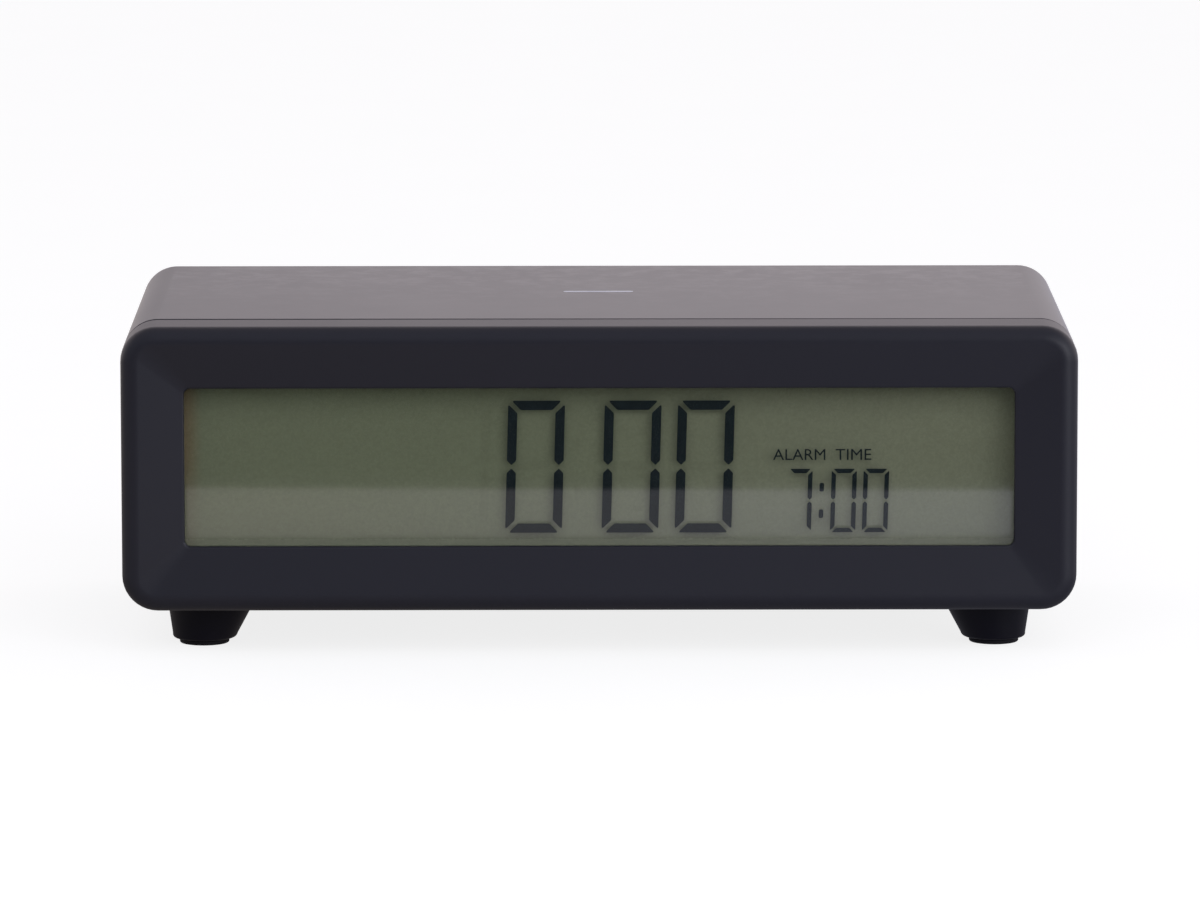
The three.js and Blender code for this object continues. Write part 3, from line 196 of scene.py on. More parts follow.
def straight_rays(tree, path):
    """Whether a ray comes straight from the eye or through clear parts."""
    return arithmetic(tree, "MAXIMUM", path["Is Camera Ray"], path["Is Transmission Ray"])


table_finish, tree = new_material("pale_table")
path = node(tree, "LightPath")
across, depth, _ = object_place(tree)
side = ramp(tree, across, *TABLE_SIDES)
gloss = blend(tree, side, *TABLE_GLOSSES, "FLOAT")
# Painted shadow: the table's glow in reflections falls to TABLE_SHADED near the clock, as if the clock shaded
# it.
gloss = arithmetic(tree, "MULTIPLY", gloss, ramp(tree, depth, *TABLE_SHADE_SPAN, 1.0, TABLE_SHADED))
gloss = blend(tree, ramp(tree, depth, *TABLE_FAR_SPAN), gloss, TABLE_FAR, "FLOAT")
from_front = arithmetic(tree, "MULTIPLY_ADD", across, -TABLE_FRONT_SKEW, depth)
gloss = ramp(tree, from_front, TABLE_FRONT_Y - TABLE_EDGE_BLUR, TABLE_FRONT_Y + TABLE_EDGE_BLUR, 0.0, gloss)
tint = blend(tree, side, *TABLE_TINTS)
mirrored = node(tree, "Emission", {"Color": tint, "Strength": gloss})[0]
bounced = node(tree, "BsdfDiffuse", {"Color": FLOOR_BOUNCE})[0]
mottle = ramp(tree, noise(tree, FLOOR_CELLS), *NOISE_SPAN, *FLOOR_SEEN)
lit = node(tree, "BsdfDiffuse", {"Color": mottle})[0]
glow = node(tree, "Emission", {"Color": WHITE, "Strength": FLOOR_GLOW})[0]
seen = node(tree, "AddShader", {0: lit, 1: glow})[0]
straight = node(tree, "MixShader", {0: straight_rays(tree, path), 1: bounced, 2: seen})[0]
table_top = node(tree, "MixShader", {0: path["Is Glossy Ray"], 1: straight, 2: mirrored})[0]
below = arithmetic(tree, "MULTIPLY", node(tree, "NewGeometry")["Backfacing"], path["Is Camera Ray"])
coat(tree, {0: below, 1: table_top, 2: node(tree, "BsdfTransparent")[0]}, "MixShader")
table_mesh = bpy.data.meshes.new("table")
table_corners = [(-1, -1), (1, -1), (1, 1), (-1, 1)]
table_mesh.from_pydata([(x * FLOOR_HALF, y * FLOOR_HALF, 0) for x, y in table_corners], [], [(0, 1, 2, 3)])
table_mesh.materials.append(table_finish)
table = add_object("table", table_mesh)

surround = bpy.data.worlds.new("surround")
bpy.context.scene.world = surround
surround.use_nodes = True
tree = surround.node_tree
tree.nodes.clear()
direction = node(tree, "SeparateXYZ", {0: node(tree, "TexCoord")["Generated"]})
behind = ramp(tree, direction["Y"], *BEHIND_SPAN)
backdrop_level = ramp(tree, direction["X"], *BACKDROP_SIDES, *BACKDROP_LEVELS)
far_left = ramp(tree, direction["X"], *FAR_LEFT_SPAN, FAR_LEFT_LEVEL, 0.0)
room_level = arithmetic(tree, "ADD", ramp(tree, direction["X"], *ROOM_SIDES, *ROOM_LEVELS), far_left)
level = blend(tree, behind, room_level, backdrop_level, "FLOAT")
level = blend(tree, ramp(tree, direction["Z"], *OVERHEAD_SPAN), level, OVERHEAD_LEVEL, "FLOAT")
tint = blend(tree, behind, ROOM_COLOUR, BACKDROP_COLOUR)
mirrored = node(tree, "Background", {"Color": tint, "Strength": level})[0]
seen = node(tree, "Background", {"Color": WHITE, "Strength": 1.0})[0]
surround_mix = {0: straight_rays(tree, node(tree, "LightPath")), 1: mirrored, 2: seen}
coat(tree, surround_mix, "MixShader", "OutputWorld")


def area_light(name, place, size, watts, mirrored):
    """A soft rectangular light turned to the clock, with or without its reflection."""
    light = bpy.data.lights.new(name, "AREA")
    light.shape = "RECTANGLE"
    light.size, light.size_y = size
    light.energy = watts
    light.color = LIGHT_COLOUR
    lamp = add_object(name, light)
    lamp.location = place
    lamp.visible_glossy = mirrored
    lamp.rotation_euler = (LIGHT_AIM - place).to_track_quat("-Z", "Y").to_euler()


area_light("softbox", SOFTBOX_PLACE, SOFTBOX_SIZE, SOFTBOX_WATTS, False)
area_light("side_panel", PANEL_PLACE, PANEL_SIZE, PANEL_WATTS, True)


# Front bezel: the deep frame moulded in charcoal ABS, with a rolled front edge and four faces that slope
# in to the window. It is screwed to the display board through four bosses in its corners.
CORNER = 6.0
WALL = 2.0
BEZEL_ROLL = 2.5
BEZEL_BACK_SOFT = 0.3
BEZEL_DEPTH = 10.0
BEZEL_TOP_FALL = 0.2
BORDER_SIDE = 10.55
BORDER_TOP = 10.85
WINDOW_CORNER = 1.1
WINDOW_RECESS = 2.0
WINDOW_LIP = 1.0
WINDOW_SOFT = 0.35
WINDOW_TOP_LIFT = 0.24
BOSS_RADIUS = 1.8
BOSS_BORE = 1.2
BOSS_ROOT = 0.5
CORNER_STEPS = 20
SMOOTH_ANGLE = math.radians(32)
SCREW_CORNERS = ("lower_left", "lower_right", "upper_left", "upper_right")
PLASTIC_IOR = 1.5
WORN_GAIN, WORN_LIFT, WORN_POLISH = 1.5, 0.01, 0.75


def srgb(red, green, blue):
    """A linear colour from screen values of 0 to 255."""
    shares = [value / 255 for value in (red, green, blue)]
    return tuple(v / 12.92 if v <= 0.04045 else ((v + 0.055) / 1.055) ** 2.4 for v in shares) + (1.0,)


def node_box(name):
    """The lowest and highest corners of a CAD node, in millimetres."""
    low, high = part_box(name)
    return low / MM, high / MM


def mid_of(name):
    """The middle of a CAD node's box, in millimetres."""
    low, high = node_box(name)
    return (low + high) / 2


def arc(steps, start=0.0, end=math.pi / 2):
    """Angles from start to end in equal steps."""
    return [start + (end - start) * i / steps for i in range(steps + 1)]


def eased(steps, radius):
    """Pairs of an inset and a run round a quarter turn: from a full inset without run to a full run."""
    return [(radius * (1 - math.sin(a)), radius * (1 - math.cos(a))) for a in arc(steps)]


def rounded(half_a, half_b, radius, steps):
    """The points of a rectangle with rounded corners, about its middle."""
    points = []
    for turn, (side_a, side_b) in enumerate(((1, 1), (-1, 1), (-1, -1), (1, -1))):
        for angle in arc(steps, turn * math.pi / 2, (turn + 1) * math.pi / 2):
            a = side_a * (half_a - radius) + radius * math.cos(angle)
            points.append((a, side_b * (half_b - radius) + radius * math.sin(angle)))
    return points


def skin(rings, closed=False):
    """A mesh over equal rings of points, in millimetres, capped at its ends or closed on itself."""
    mesh = bmesh.new()
    made = [[mesh.verts.new(point) for point in ring] for ring in rings]
    pairs = list(zip(made, made[1:]))
    if closed:
        pairs.append((made[-1], made[0]))
    for near, far in pairs:
        for i, corner in enumerate(near):
            after = (i + 1) % len(near)
            mesh.faces.new((corner, near[after], far[after], far[i]))
    if not closed:
        mesh.faces.new(made[0][::-1])
        mesh.faces.new(made[-1])
    bmesh.ops.recalc_face_normals(mesh, faces=mesh.faces)
    return mesh


def circle(centre, radius, axis, steps=48):
    """A ring of points round an axis through a centre."""
    first, second = [(1, 2), (2, 0), (0, 1)]["XYZ".index(axis)]
    ring = []
    for i in range(steps):
        point = Vector(centre)
        point[first] += radius * math.cos(2 * math.pi * i / steps)
        point[second] += radius * math.sin(2 * math.pi * i / steps)
        ring.append(point)
    return ring


def lathe(profile, centre, axis, steps=48, closed=False):
    """A turned solid: profile holds (radius, distance along the axis) from one end to the other."""
    rings = []
    for radius, along in profile:
        place = Vector(centre)
        place["XYZ".index(axis)] += along
        rings.append(circle(place, radius, axis, steps))
    return skin(rings, closed)


def together(*meshes):
    """One mesh of several."""
    whole = bmesh.new()
    for mesh in meshes:
        data = bpy.data.meshes.new("part")
        mesh.to_mesh(data)
        whole.from_mesh(data)
        bpy.data.meshes.remove(data)
    return whole


def piece(name, mesh, material, slot, body, *nodes):
    """A finished piece from a mesh in millimetres, riding on its body in place of its CAD nodes."""
    bmesh.ops.scale(mesh, vec=(MM, MM, MM), verts=mesh.verts)
    data = bpy.data.meshes.new(name)
    mesh.to_mesh(data)
    data.shade_smooth()
    data.set_sharp_from_angle(angle=SMOOTH_ANGLE)
    data.materials.append(material)
    made = add_object(name, data)
    made.modifiers.new("even_shading", "WEIGHTED_NORMAL").keep_sharp = True
    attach(made, body)
    if nodes:
        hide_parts(*nodes)
    return made


def shader_group(name, inputs, outputs):
    """An empty shader group with named inputs and outputs, and the sockets that stand for them."""
    group = bpy.data.node_groups.new(name, "ShaderNodeTree")
    for way, sockets in (("INPUT", inputs), ("OUTPUT", outputs)):
        for label, kind in sockets.items():
            group.interface.new_socket(label, in_out=way, socket_type="NodeSocket" + kind)
    return group, group.nodes.new("NodeGroupInput").outputs, group.nodes.new("NodeGroupOutput").inputs


moulded_grain, given, put = shader_group(
    "moulded_grain",
    {"Colour": "Color", "Shade": "Float", "Roughness": "Float", "Cells": "Float", "Depth": "Float"},
    {"Colour": "Color", "Roughness": "Float", "Normal": "Vector"},
)
tree = moulded_grain
fine = noise(tree, given["Cells"], 3.0, 0.6)
broad = noise(tree, 38.0, 4.0, 0.6)
swing = arithmetic(tree, "SUBTRACT", arithmetic(tree, "MULTIPLY_ADD", broad, 0.4, fine), 0.7)
shade = arithmetic(tree, "MULTIPLY_ADD", swing, given["Shade"], 1.0)
toned = node(tree, "VectorMath", {0: given["Colour"], "Scale": shade}, operation="SCALE")[0]
tree.links.new(toned, put["Colour"])
rough = arithmetic(tree, "MULTIPLY_ADD", arithmetic(tree, "SUBTRACT", broad, 0.5), 0.035, given["Roughness"])
tree.links.new(rough, put["Roughness"])
bumped = node(tree, "Bump", {"Height": fine, "Distance": given["Depth"], "Strength": 1.0})[0]
tree.links.new(bumped, put["Normal"])

edge_wear, given, put = shader_group("edge_wear", {"Amount": "Float"}, {"Mask": "Float"})
tree = edge_wear
bare_edge = ramp(tree, node(tree, "NewGeometry")["Pointiness"], 0.53, 0.62)
patchy = ramp(tree, noise(tree, 260.0, 4.0, 0.7), 0.42, 0.68)
rubbed = arithmetic(tree, "MULTIPLY", bare_edge, patchy)
tree.links.new(arithmetic(tree, "MULTIPLY", rubbed, given["Amount"]), put["Mask"])

settled_dust, given, put = shader_group("settled_dust", {"Amount": "Float"}, {"Mask": "Float"})
tree = settled_dust
facing = node(tree, "SeparateXYZ", {0: node(tree, "NewGeometry")["Normal"]})
upward = ramp(tree, facing["Z"], 0.55, 0.95)
specks = ramp(tree, noise(tree, 1500.0, 2.0, 0.5), 0.66, 0.78)
film = ramp(tree, noise(tree, 24.0, 3.0, 0.6), 0.35, 0.75, 0.0, 0.22)
lying = arithmetic(tree, "MULTIPLY", upward, arithmetic(tree, "MAXIMUM", specks, film))
tree.links.new(arithmetic(tree, "MULTIPLY", lying, given["Amount"]), put["Mask"])


def moulded_plastic(name, colour, roughness, cells=3300.0, depth=0.000004, shade=0.10, wear=0.35, dust=0.0,
                    gloss=0.5):
    """Moulded plastic: spark-eroded grain, faint flow mottling, rubbed edges and, where asked for, dust."""
    material, tree = new_material(name)
    inputs = {"Colour": colour, "Shade": shade, "Roughness": roughness, "Cells": cells, "Depth": depth}
    grain = node(tree, "Group", inputs, node_tree=moulded_grain)
    worn = node(tree, "Group", {"Amount": wear}, node_tree=edge_wear)["Mask"]
    rubbed = tuple(min(1.0, c * WORN_GAIN + WORN_LIFT) for c in colour[:3]) + (1.0,)
    tone = blend(tree, worn, grain["Colour"], rubbed)
    rough = blend(tree, worn, grain["Roughness"], roughness * WORN_POLISH, "FLOAT")
    if dust:
        dusty = node(tree, "Group", {"Amount": dust}, node_tree=settled_dust)["Mask"]
        tone = blend(tree, dusty, tone, srgb(168, 164, 160))
    inputs = {"Base Color": tone, "Roughness": rough, "Normal": grain["Normal"], "IOR": PLASTIC_IOR}
    inputs["Specular IOR Level"] = gloss
    coat(tree, inputs)
    return material


bezel_low, bezel_high = node_box("front_bezel")
case_half = bezel_high.x
case_mid_z = (bezel_low.z + bezel_high.z) / 2
bezel_half_z = (bezel_high.z - bezel_low.z) / 2
front_y = bezel_low.y
lip_back_y = front_y + WINDOW_RECESS + WINDOW_LIP


def frame_ring(inset_x, inset_z, depth, radius, lift=0.0):
    """A rounded rectangle inset from the bezel's outer skin, at a depth behind its front, its top lifted."""
    ring = []
    for x, z in rounded(case_half - inset_x, bezel_half_z - inset_z, radius, CORNER_STEPS // 2):
        ring.append(Vector((x, front_y + depth, case_mid_z + z + (lift if z > 0 else 0.0))))
    return ring


def bezel_skin():
    """The bezel's section carried round it, from its back edge over the roll and the face to its inside."""
    rings = []
    for inset, run in eased(4, BEZEL_BACK_SOFT):
        rings.append(frame_ring(inset, inset, BEZEL_DEPTH - run, CORNER - inset))
    lean = math.atan2(WINDOW_RECESS, BORDER_TOP - BEZEL_ROLL)
    for angle in arc(16, 0.0, math.pi / 2 + lean):
        roll_end, roll_depth = BEZEL_ROLL * (1 - math.cos(angle)), BEZEL_ROLL * (1 - math.sin(angle))
        rings.append(frame_ring(roll_end, roll_end, roll_depth, CORNER - roll_end))
    face_run = BORDER_TOP - roll_end
    soft_share = WINDOW_SOFT / face_run
    for step in range(6):
        share = step / 5
        before, at, after = (1 - share) ** 2, 2 * share * (1 - share), share ** 2
        reach = (1 - soft_share) * before + at + after
        depth = (WINDOW_RECESS - soft_share * (WINDOW_RECESS - roll_depth)) * before
        depth += WINDOW_RECESS * at + (WINDOW_RECESS + WINDOW_SOFT) * after
        inset_x = roll_end + (BORDER_SIDE - roll_end) * reach
        inset_z = roll_end + face_run * reach
        radius = (CORNER - roll_end) + (WINDOW_CORNER - CORNER + roll_end) * reach
        rings.append(frame_ring(inset_x, inset_z, depth, radius, WINDOW_TOP_LIFT * reach))
    lip_back = WINDOW_RECESS + WINDOW_LIP
    rings.append(frame_ring(BORDER_SIDE, BORDER_TOP, lip_back, WINDOW_CORNER, WINDOW_TOP_LIFT))
    rings.append(frame_ring(WALL, WALL, lip_back, CORNER - WALL))
    rings.append(frame_ring(WALL, WALL, BEZEL_DEPTH, CORNER - WALL))
    mesh = skin(rings, closed=True)
    for vert in mesh.verts:
        height = max(0.0, (vert.co.z - case_mid_z) / bezel_half_z) ** 3
        vert.co.z -= BEZEL_TOP_FALL * height * (front_y + BEZEL_DEPTH - vert.co.y) / BEZEL_DEPTH
    return mesh


bezel_parts = [bezel_skin()]
boss_length = bezel_high.y - lip_back_y
boss_section = [(BOSS_BORE, BOSS_ROOT), (BOSS_BORE, boss_length), (BOSS_RADIUS, boss_length)]
boss_section += [(BOSS_RADIUS, -BOSS_ROOT), (BOSS_BORE, -BOSS_ROOT)]
for corner in SCREW_CORNERS:
    boss = mid_of("board_screw_" + corner)
    boss.y = lip_back_y
    bezel_parts.append(lathe(boss_section, boss, "Y", 32, closed=True))
bezel_charcoal = moulded_plastic("bezel_charcoal", srgb(28, 28, 37), 0.44, dust=0.06)
piece("bezel_frame", together(*bezel_parts), bezel_charcoal, "case_plastic", "case", "front_bezel")


# Display window: a clear acrylic plate, cut with rounded corners and set against the back of the bezel's lip.
# Only rays that enter it meet its gloss, so its raised index stands for the reflections of both its faces.
WINDOW_EDGE = 0.2
WINDOW_IOR = 1.65
LEAST_CORNER = 0.02


def plate(low, high, thin, corner, edge, steps=6):
    """A flat plate between two corners, thin along one axis, with rounded corners and softened edges."""
    thin_axis = "XYZ".index(thin)
    first, second = [axis for axis in range(3) if axis != thin_axis]
    half = (high - low) / 2
    levels = [(low[thin_axis] + run, inset) for run, inset in eased(3, edge)[::-1]]
    levels += [(high[thin_axis] - run, inset) for run, inset in eased(3, edge)]
    rings = []
    for along, inset in levels:
        ring = []
        radius = max(corner - inset, LEAST_CORNER)
        for a, b in rounded(half[first] - inset, half[second] - inset, radius, steps):
            point = (low + high) / 2
            point[first] += a
            point[second] += b
            point[thin_axis] = along
            ring.append(point)
        rings.append(ring)
    return skin(rings)


window_acrylic, tree = new_material("window_acrylic")
smears = ramp(tree, noise(tree, 55.0, 4.0, 0.6, (1.0, 1.0, 2.2)), 0.35, 0.8, 0.01, 0.03)
clear = node(tree, "BsdfTransparent", {"Color": (0.975, 0.978, 0.970, 1.0)})[0]
polish = node(tree, "BsdfGlossy", {"Color": WHITE, "Roughness": smears})[0]
entering = arithmetic(tree, "SUBTRACT", 1.0, node(tree, "NewGeometry")["Backfacing"])
glint = arithmetic(tree, "MULTIPLY", node(tree, "Fresnel", {"IOR": WINDOW_IOR})[0], entering)
coat(tree, {0: glint, 1: clear, 2: polish}, "MixShader")
window_mesh = plate(*node_box("display_window"), "Y", WINDOW_CORNER, WINDOW_EDGE)
piece("window_plate", window_mesh, window_acrylic, "window", "case", "display_window")


# Liquid-crystal cell: two thin panes bonded into one slab, with the polariser's faint tint. The front pane
# is taller, so its ledge can carry the contacts. The slab lies in the holder's pocket, on the reflector.
GLASS_EDGE = 0.12
GLASS_CORNER = 0.25
GLASS_BED = 0.05
GLASS_ALPHA = 0.04
WELD_REACH = 0.0002


def evaluated(*objects):
    """The mesh of the first object as its modifiers leave it. The objects are then removed."""
    solid = objects[0].evaluated_get(bpy.context.evaluated_depsgraph_get())
    mesh = bmesh.new()
    mesh.from_mesh(solid.to_mesh())
    solid.to_mesh_clear()
    bpy.data.batch_remove([*objects, *(spent.data for spent in objects)])
    return mesh


def carved(mesh, joined=(), cut=()):
    """A mesh with others joined to it and cut from it by exact booleans."""
    objects = []
    for shape in (mesh, *joined, *cut):
        data = bpy.data.meshes.new("carving")
        shape.to_mesh(data)
        objects.append(add_object("carving", data))
    for count, tool in enumerate(objects[1:]):
        step = objects[0].modifiers.new("carve", "BOOLEAN")
        step.operation = "UNION" if count < len(joined) else "DIFFERENCE"
        step.solver = "EXACT"
        step.object = tool
    result = evaluated(*objects)
    bmesh.ops.remove_doubles(result, verts=result.verts, dist=WELD_REACH)
    bmesh.ops.dissolve_degenerate(result, edges=result.edges, dist=WELD_REACH)
    return result


display_pane, tree = new_material("display_pane")
haze = ramp(tree, noise(tree, 900.0, 2.0, 0.5), *NOISE_SPAN, 0.10, 0.16)
inputs = {"Base Color": srgb(108, 128, 122), "Roughness": haze, "IOR": PLASTIC_IOR, "Alpha": GLASS_ALPHA}
inputs["Specular IOR Level"] = 0.12
coat(tree, inputs)
front_low, front_high = node_box("lcd_front_glass")
rear_low, rear_high = node_box("lcd_rear_glass")
film_front_y = node_box("lcd_reflector")[0].y
bond_y = (front_high.y + rear_low.y) / 2
front_high.y = bond_y + GLASS_EDGE
rear_low.y = bond_y - GLASS_EDGE
rear_high.y = film_front_y + GLASS_BED
front_pane = plate(front_low, front_high, "Y", GLASS_CORNER, GLASS_EDGE, 3)
rear_pane = plate(rear_low, rear_high, "Y", GLASS_CORNER, GLASS_EDGE, 3)
piece("crystal_cell", carved(front_pane, [rear_pane]), display_pane, "display_glass", "case",
      "lcd_front_glass", "lcd_rear_glass")


# Display figures: the dark segments that the liquid crystal shows between the panes, 0:00 beside 7:00 and a
# caption, each a thin film in the slab.
FIGURE_FRONT_Y = -34.985
FIGURE_BACK_Y = -34.93
DISPLAY_SLANT = 0.0265
TIME_LOW_Z, TIME_HIGH_Z = 20.54, 42.93
TIME_WIDTH = 9.53
TIME_STROKE = 1.57
TIME_MITRE = 0.56
TIME_LEFTS = (-15.46, 0.72, 13.00)
TIME_SLANT_LIFT = 2.8
TIME_SLANT_Z = (TIME_LOW_Z + TIME_HIGH_Z) / 2 + TIME_SLANT_LIFT
UNLIT_LEFT = -27.88
UNLIT_COLON_X = -3.58
UNLIT_COLON_ZS = (35.74, 27.70)
ALARM_LOW_Z, ALARM_HIGH_Z = 20.56, 31.33
ALARM_STROKE = 0.75
ALARM_MITRE = 0.30
ALARM_DIGITS = ((31.58, 4.10, "abc"), (38.86, 4.25, "abcdef"), (44.22, 4.30, "abcdef"))
ALARM_SLANT_Z = (ALARM_LOW_Z + ALARM_HIGH_Z) / 2
ALARM_COLON_X = 37.28
ALARM_COLON_ZS = (28.20, 23.70)
COLON_HALF = (0.38, 0.74)
COLON_ROUND = 0.26
SEGMENT_BLUNT = 0.16
SEGMENT_ROUND = 0.12
CAPTION = (("ALARM", 29.14, 37.92), ("TIME", 39.63, 45.64))
CAPTION_LOW_Z, CAPTION_HIGH_Z = 32.83, 34.68
LETTER_WELD = 0.0005


def segment_outlines(left, width, low, high, stroke, mitre):
    """The outlines of a digit's seven segments, a to g, before the slant, their sharp ends cut blunt."""
    half_x, half_z = width / 2, (high - low) / 2
    half, tip = stroke / 2, mitre / 2
    blunt = stroke * SEGMENT_BLUNT
    reach, top = half_x - mitre, half_z - mitre
    bar = [(blunt - reach, half_z), (reach - blunt, half_z), (reach - blunt, half_z - blunt),
           (reach - stroke, half_z - stroke), (stroke - reach, half_z - stroke),
           (blunt - reach, half_z - blunt)]
    side = [(half_x, top - blunt), (half_x - blunt, top - blunt), (half_x - stroke, top - stroke),
            (half_x - stroke, tip + half), (half_x - half, tip), (half_x, tip + half)]
    bridge = [(-reach, 0.0), (half - reach, half), (reach - half, half),
              (reach, 0.0), (reach - half, -half), (half - reach, -half)]
    turned = {"a": (bar, 1, 1), "b": (side, 1, 1), "c": (side, 1, -1), "d": (bar, 1, -1),
              "e": (side, -1, -1), "f": (side, -1, 1), "g": (bridge, 1, 1)}
    outlines = {}
    for letter, (outline, turn_x, turn_z) in turned.items():
        outlines[letter] = [(left + half_x + turn_x * x, low + half_z + turn_z * z) for x, z in outline]
    return outlines


def colon_outlines(x, heights):
    """A colon's upright dots, round at their corners."""
    dot = rounded(*COLON_HALF, COLON_ROUND, 3)
    return [[(x + a, z + b) for a, b in dot] for z in heights]


def segment_layer(outlines, slant_from, near_y, far_y):
    """Thin leaned prisms with soft corners, one for each outline."""
    layer = []
    for outline in outlines:
        leaned = [(x + (z - slant_from) * DISPLAY_SLANT, z) for x, z in outline]
        mesh = skin([[Vector((x, y, z)) for x, z in leaned] for y in (near_y, far_y)])
        through = [e for e in mesh.edges if e.verts[0].co.y != e.verts[1].co.y]
        bmesh.ops.bevel(mesh, geom=through, offset=SEGMENT_ROUND, segments=3, affect="EDGES", profile=0.5,
                        clamp_overlap=True)
        layer.append(mesh)
    return together(*layer)


def lettering(text, left, right, low, high, near_y, far_y):
    """Raised letters fitted to a place on an upright face, read from the front where left is below right."""
    curve = bpy.data.curves.new(text, "FONT")
    curve.body = text
    curve.extrude = 0.1
    curve.resolution_u = 4
    mesh = evaluated(add_object(text, curve))
    spans = [[min(v.co[i] for v in mesh.verts), max(v.co[i] for v in mesh.verts)] for i in range(3)]
    for vert in mesh.verts:
        share = [(vert.co[i] - spans[i][0]) / (spans[i][1] - spans[i][0]) for i in range(3)]
        y = far_y + (near_y - far_y) * share[2]
        vert.co = (left + (right - left) * share[0], y, low + (high - low) * share[1])
    bmesh.ops.remove_doubles(mesh, verts=mesh.verts, dist=LETTER_WELD)
    bmesh.ops.recalc_face_normals(mesh, faces=mesh.faces)
    return mesh


segment_ink, tree = new_material("segment_ink")
dense = ramp(tree, noise(tree, 700.0, 3.0, 0.6), *NOISE_SPAN)
inputs = {"Base Color": blend(tree, dense, srgb(9, 17, 23), srgb(12, 21, 27)), "Roughness": 0.35}
inputs["Specular IOR Level"] = 0.2
coat(tree, inputs)
lit_outlines = []
faint_outlines = []
for left in TIME_LEFTS:
    digit = segment_outlines(left, TIME_WIDTH, TIME_LOW_Z, TIME_HIGH_Z, TIME_STROKE, TIME_MITRE)
    faint_outlines.append(digit.pop("g"))
    lit_outlines += digit.values()
unlit = segment_outlines(UNLIT_LEFT, TIME_WIDTH, TIME_LOW_Z, TIME_HIGH_Z, TIME_STROKE, TIME_MITRE)
faint_outlines += [unlit["b"], unlit["c"]] + colon_outlines(UNLIT_COLON_X, UNLIT_COLON_ZS)
alarm_outlines = colon_outlines(ALARM_COLON_X, ALARM_COLON_ZS)
for left, width, shown in ALARM_DIGITS:
    digit = segment_outlines(left, width, ALARM_LOW_Z, ALARM_HIGH_Z, ALARM_STROKE, ALARM_MITRE)
    alarm_outlines += [digit[letter] for letter in shown]
figures = [
    segment_layer(lit_outlines, TIME_SLANT_Z, FIGURE_FRONT_Y, FIGURE_BACK_Y),
    segment_layer(alarm_outlines, ALARM_SLANT_Z, FIGURE_FRONT_Y, FIGURE_BACK_Y),
]
for word, left, right in CAPTION:
    figures.append(lettering(word, left, right, CAPTION_LOW_Z, CAPTION_HIGH_Z, FIGURE_FRONT_Y, FIGURE_BACK_Y))
piece("display_figures", together(*figures), segment_ink, "display_film", "case")


# Reflector film: the olive transflective sheet behind the glass, with a fine pearl grain and a slight gloss
# that dulls along its lower edge. It turns browner over the adhesive at its left end, most of all high up,
# and leans back a trace. Its tone is painted lighter towards the right: painted light from the brighter
# right-hand side. The unlit segments' faint shadows are painted on it, as the film a little darker.
ADHESIVE_SPAN = (-0.0695, -0.0663)
ADHESIVE_HEIGHTS = (0.024, 0.034)
ADHESIVE_FADED = 0.3
FILM_PAINTED_LIGHT_SPAN = (-0.03, 0.05)
FILM_IOR = 1.88
FILM_LEAN = (0.0, 0.0, 0.0026)
FILM_DULLED = 0.35
FILM_DULL_BELOW, FILM_DULL_ABOVE = 0.0008, 0.0022
UNLIT_SHADE = 0.95
UNLIT_HALF_THICK = 0.02
EASE_ANGLE = math.radians(40)
NODE_WELD = 0.000002
film_foot_z = (bezel_low.z + BORDER_TOP) * MM


def dress(name, material, ease=0.0):
    """Gives a CAD node that keeps its own solid a new finish and, for a given width, eased edges."""
    held = frame["nodes"][name]
    held.data.materials.clear()
    held.data.materials.append(material)
    if ease:
        held.modifiers.new("joined_faces", "WELD").merge_threshold = NODE_WELD
        bevel = held.modifiers.new("eased_edges", "BEVEL")
        bevel.width = ease * MM
        bevel.segments = 2
        bevel.limit_method = "ANGLE"
        bevel.angle_limit = EASE_ANGLE


def pearl_film(name, shade):
    """The film's look, darkened by a share."""
    material, tree = new_material(name)
    x, _, z = object_place(tree)
    # Painted light: the film's tone grows lighter towards the right, where more light falls.
    tone = blend(tree, ramp(tree, x, *FILM_PAINTED_LIGHT_SPAN), srgb(115, 120, 96), srgb(123, 126, 104))
    edge = ramp(tree, x, *ADHESIVE_SPAN, 1.0, 0.0)
    edge = arithmetic(tree, "MULTIPLY", edge, ramp(tree, z, *ADHESIVE_HEIGHTS, ADHESIVE_FADED, 1.0))
    tone = blend(tree, edge, tone, srgb(121, 109, 84))
    pearl = noise(tree, 2600.0, 2.0, 0.6)
    grain = ramp(tree, pearl, *NOISE_SPAN, 0.94 * shade, 1.06 * shade)
    tone = node(tree, "VectorMath", {0: tone, "Scale": grain}, operation="SCALE")[0]
    dulled = ramp(tree, z, film_foot_z - FILM_DULL_BELOW, film_foot_z + FILM_DULL_ABOVE, FILM_DULLED, 0.0)
    rough = arithmetic(tree, "ADD", ramp(tree, pearl, *NOISE_SPAN, 0.04, 0.07), dulled)
    upright = node(tree, "NewGeometry")["Normal"]
    leaned = node(tree, "VectorMath", {0: upright, 1: FILM_LEAN}, operation="ADD")[0]
    leaned = node(tree, "VectorMath", {0: leaned}, operation="NORMALIZE")[0]
    coat(tree, {"Base Color": tone, "Roughness": rough, "IOR": FILM_IOR, "Normal": leaned})
    return material


dress("lcd_reflector", pearl_film("pearl_film", 1.0))
# Painted shadow: the unlit segments' faint shadows, the film again a little darker in their shapes.
unlit_ys = (film_front_y - UNLIT_HALF_THICK, film_front_y + UNLIT_HALF_THICK)
unlit_layer = segment_layer(faint_outlines, TIME_SLANT_Z, *unlit_ys)
piece("display_unlit", unlit_layer, pearl_film("unlit_painted_shadow", UNLIT_SHADE), "display_film", "case")


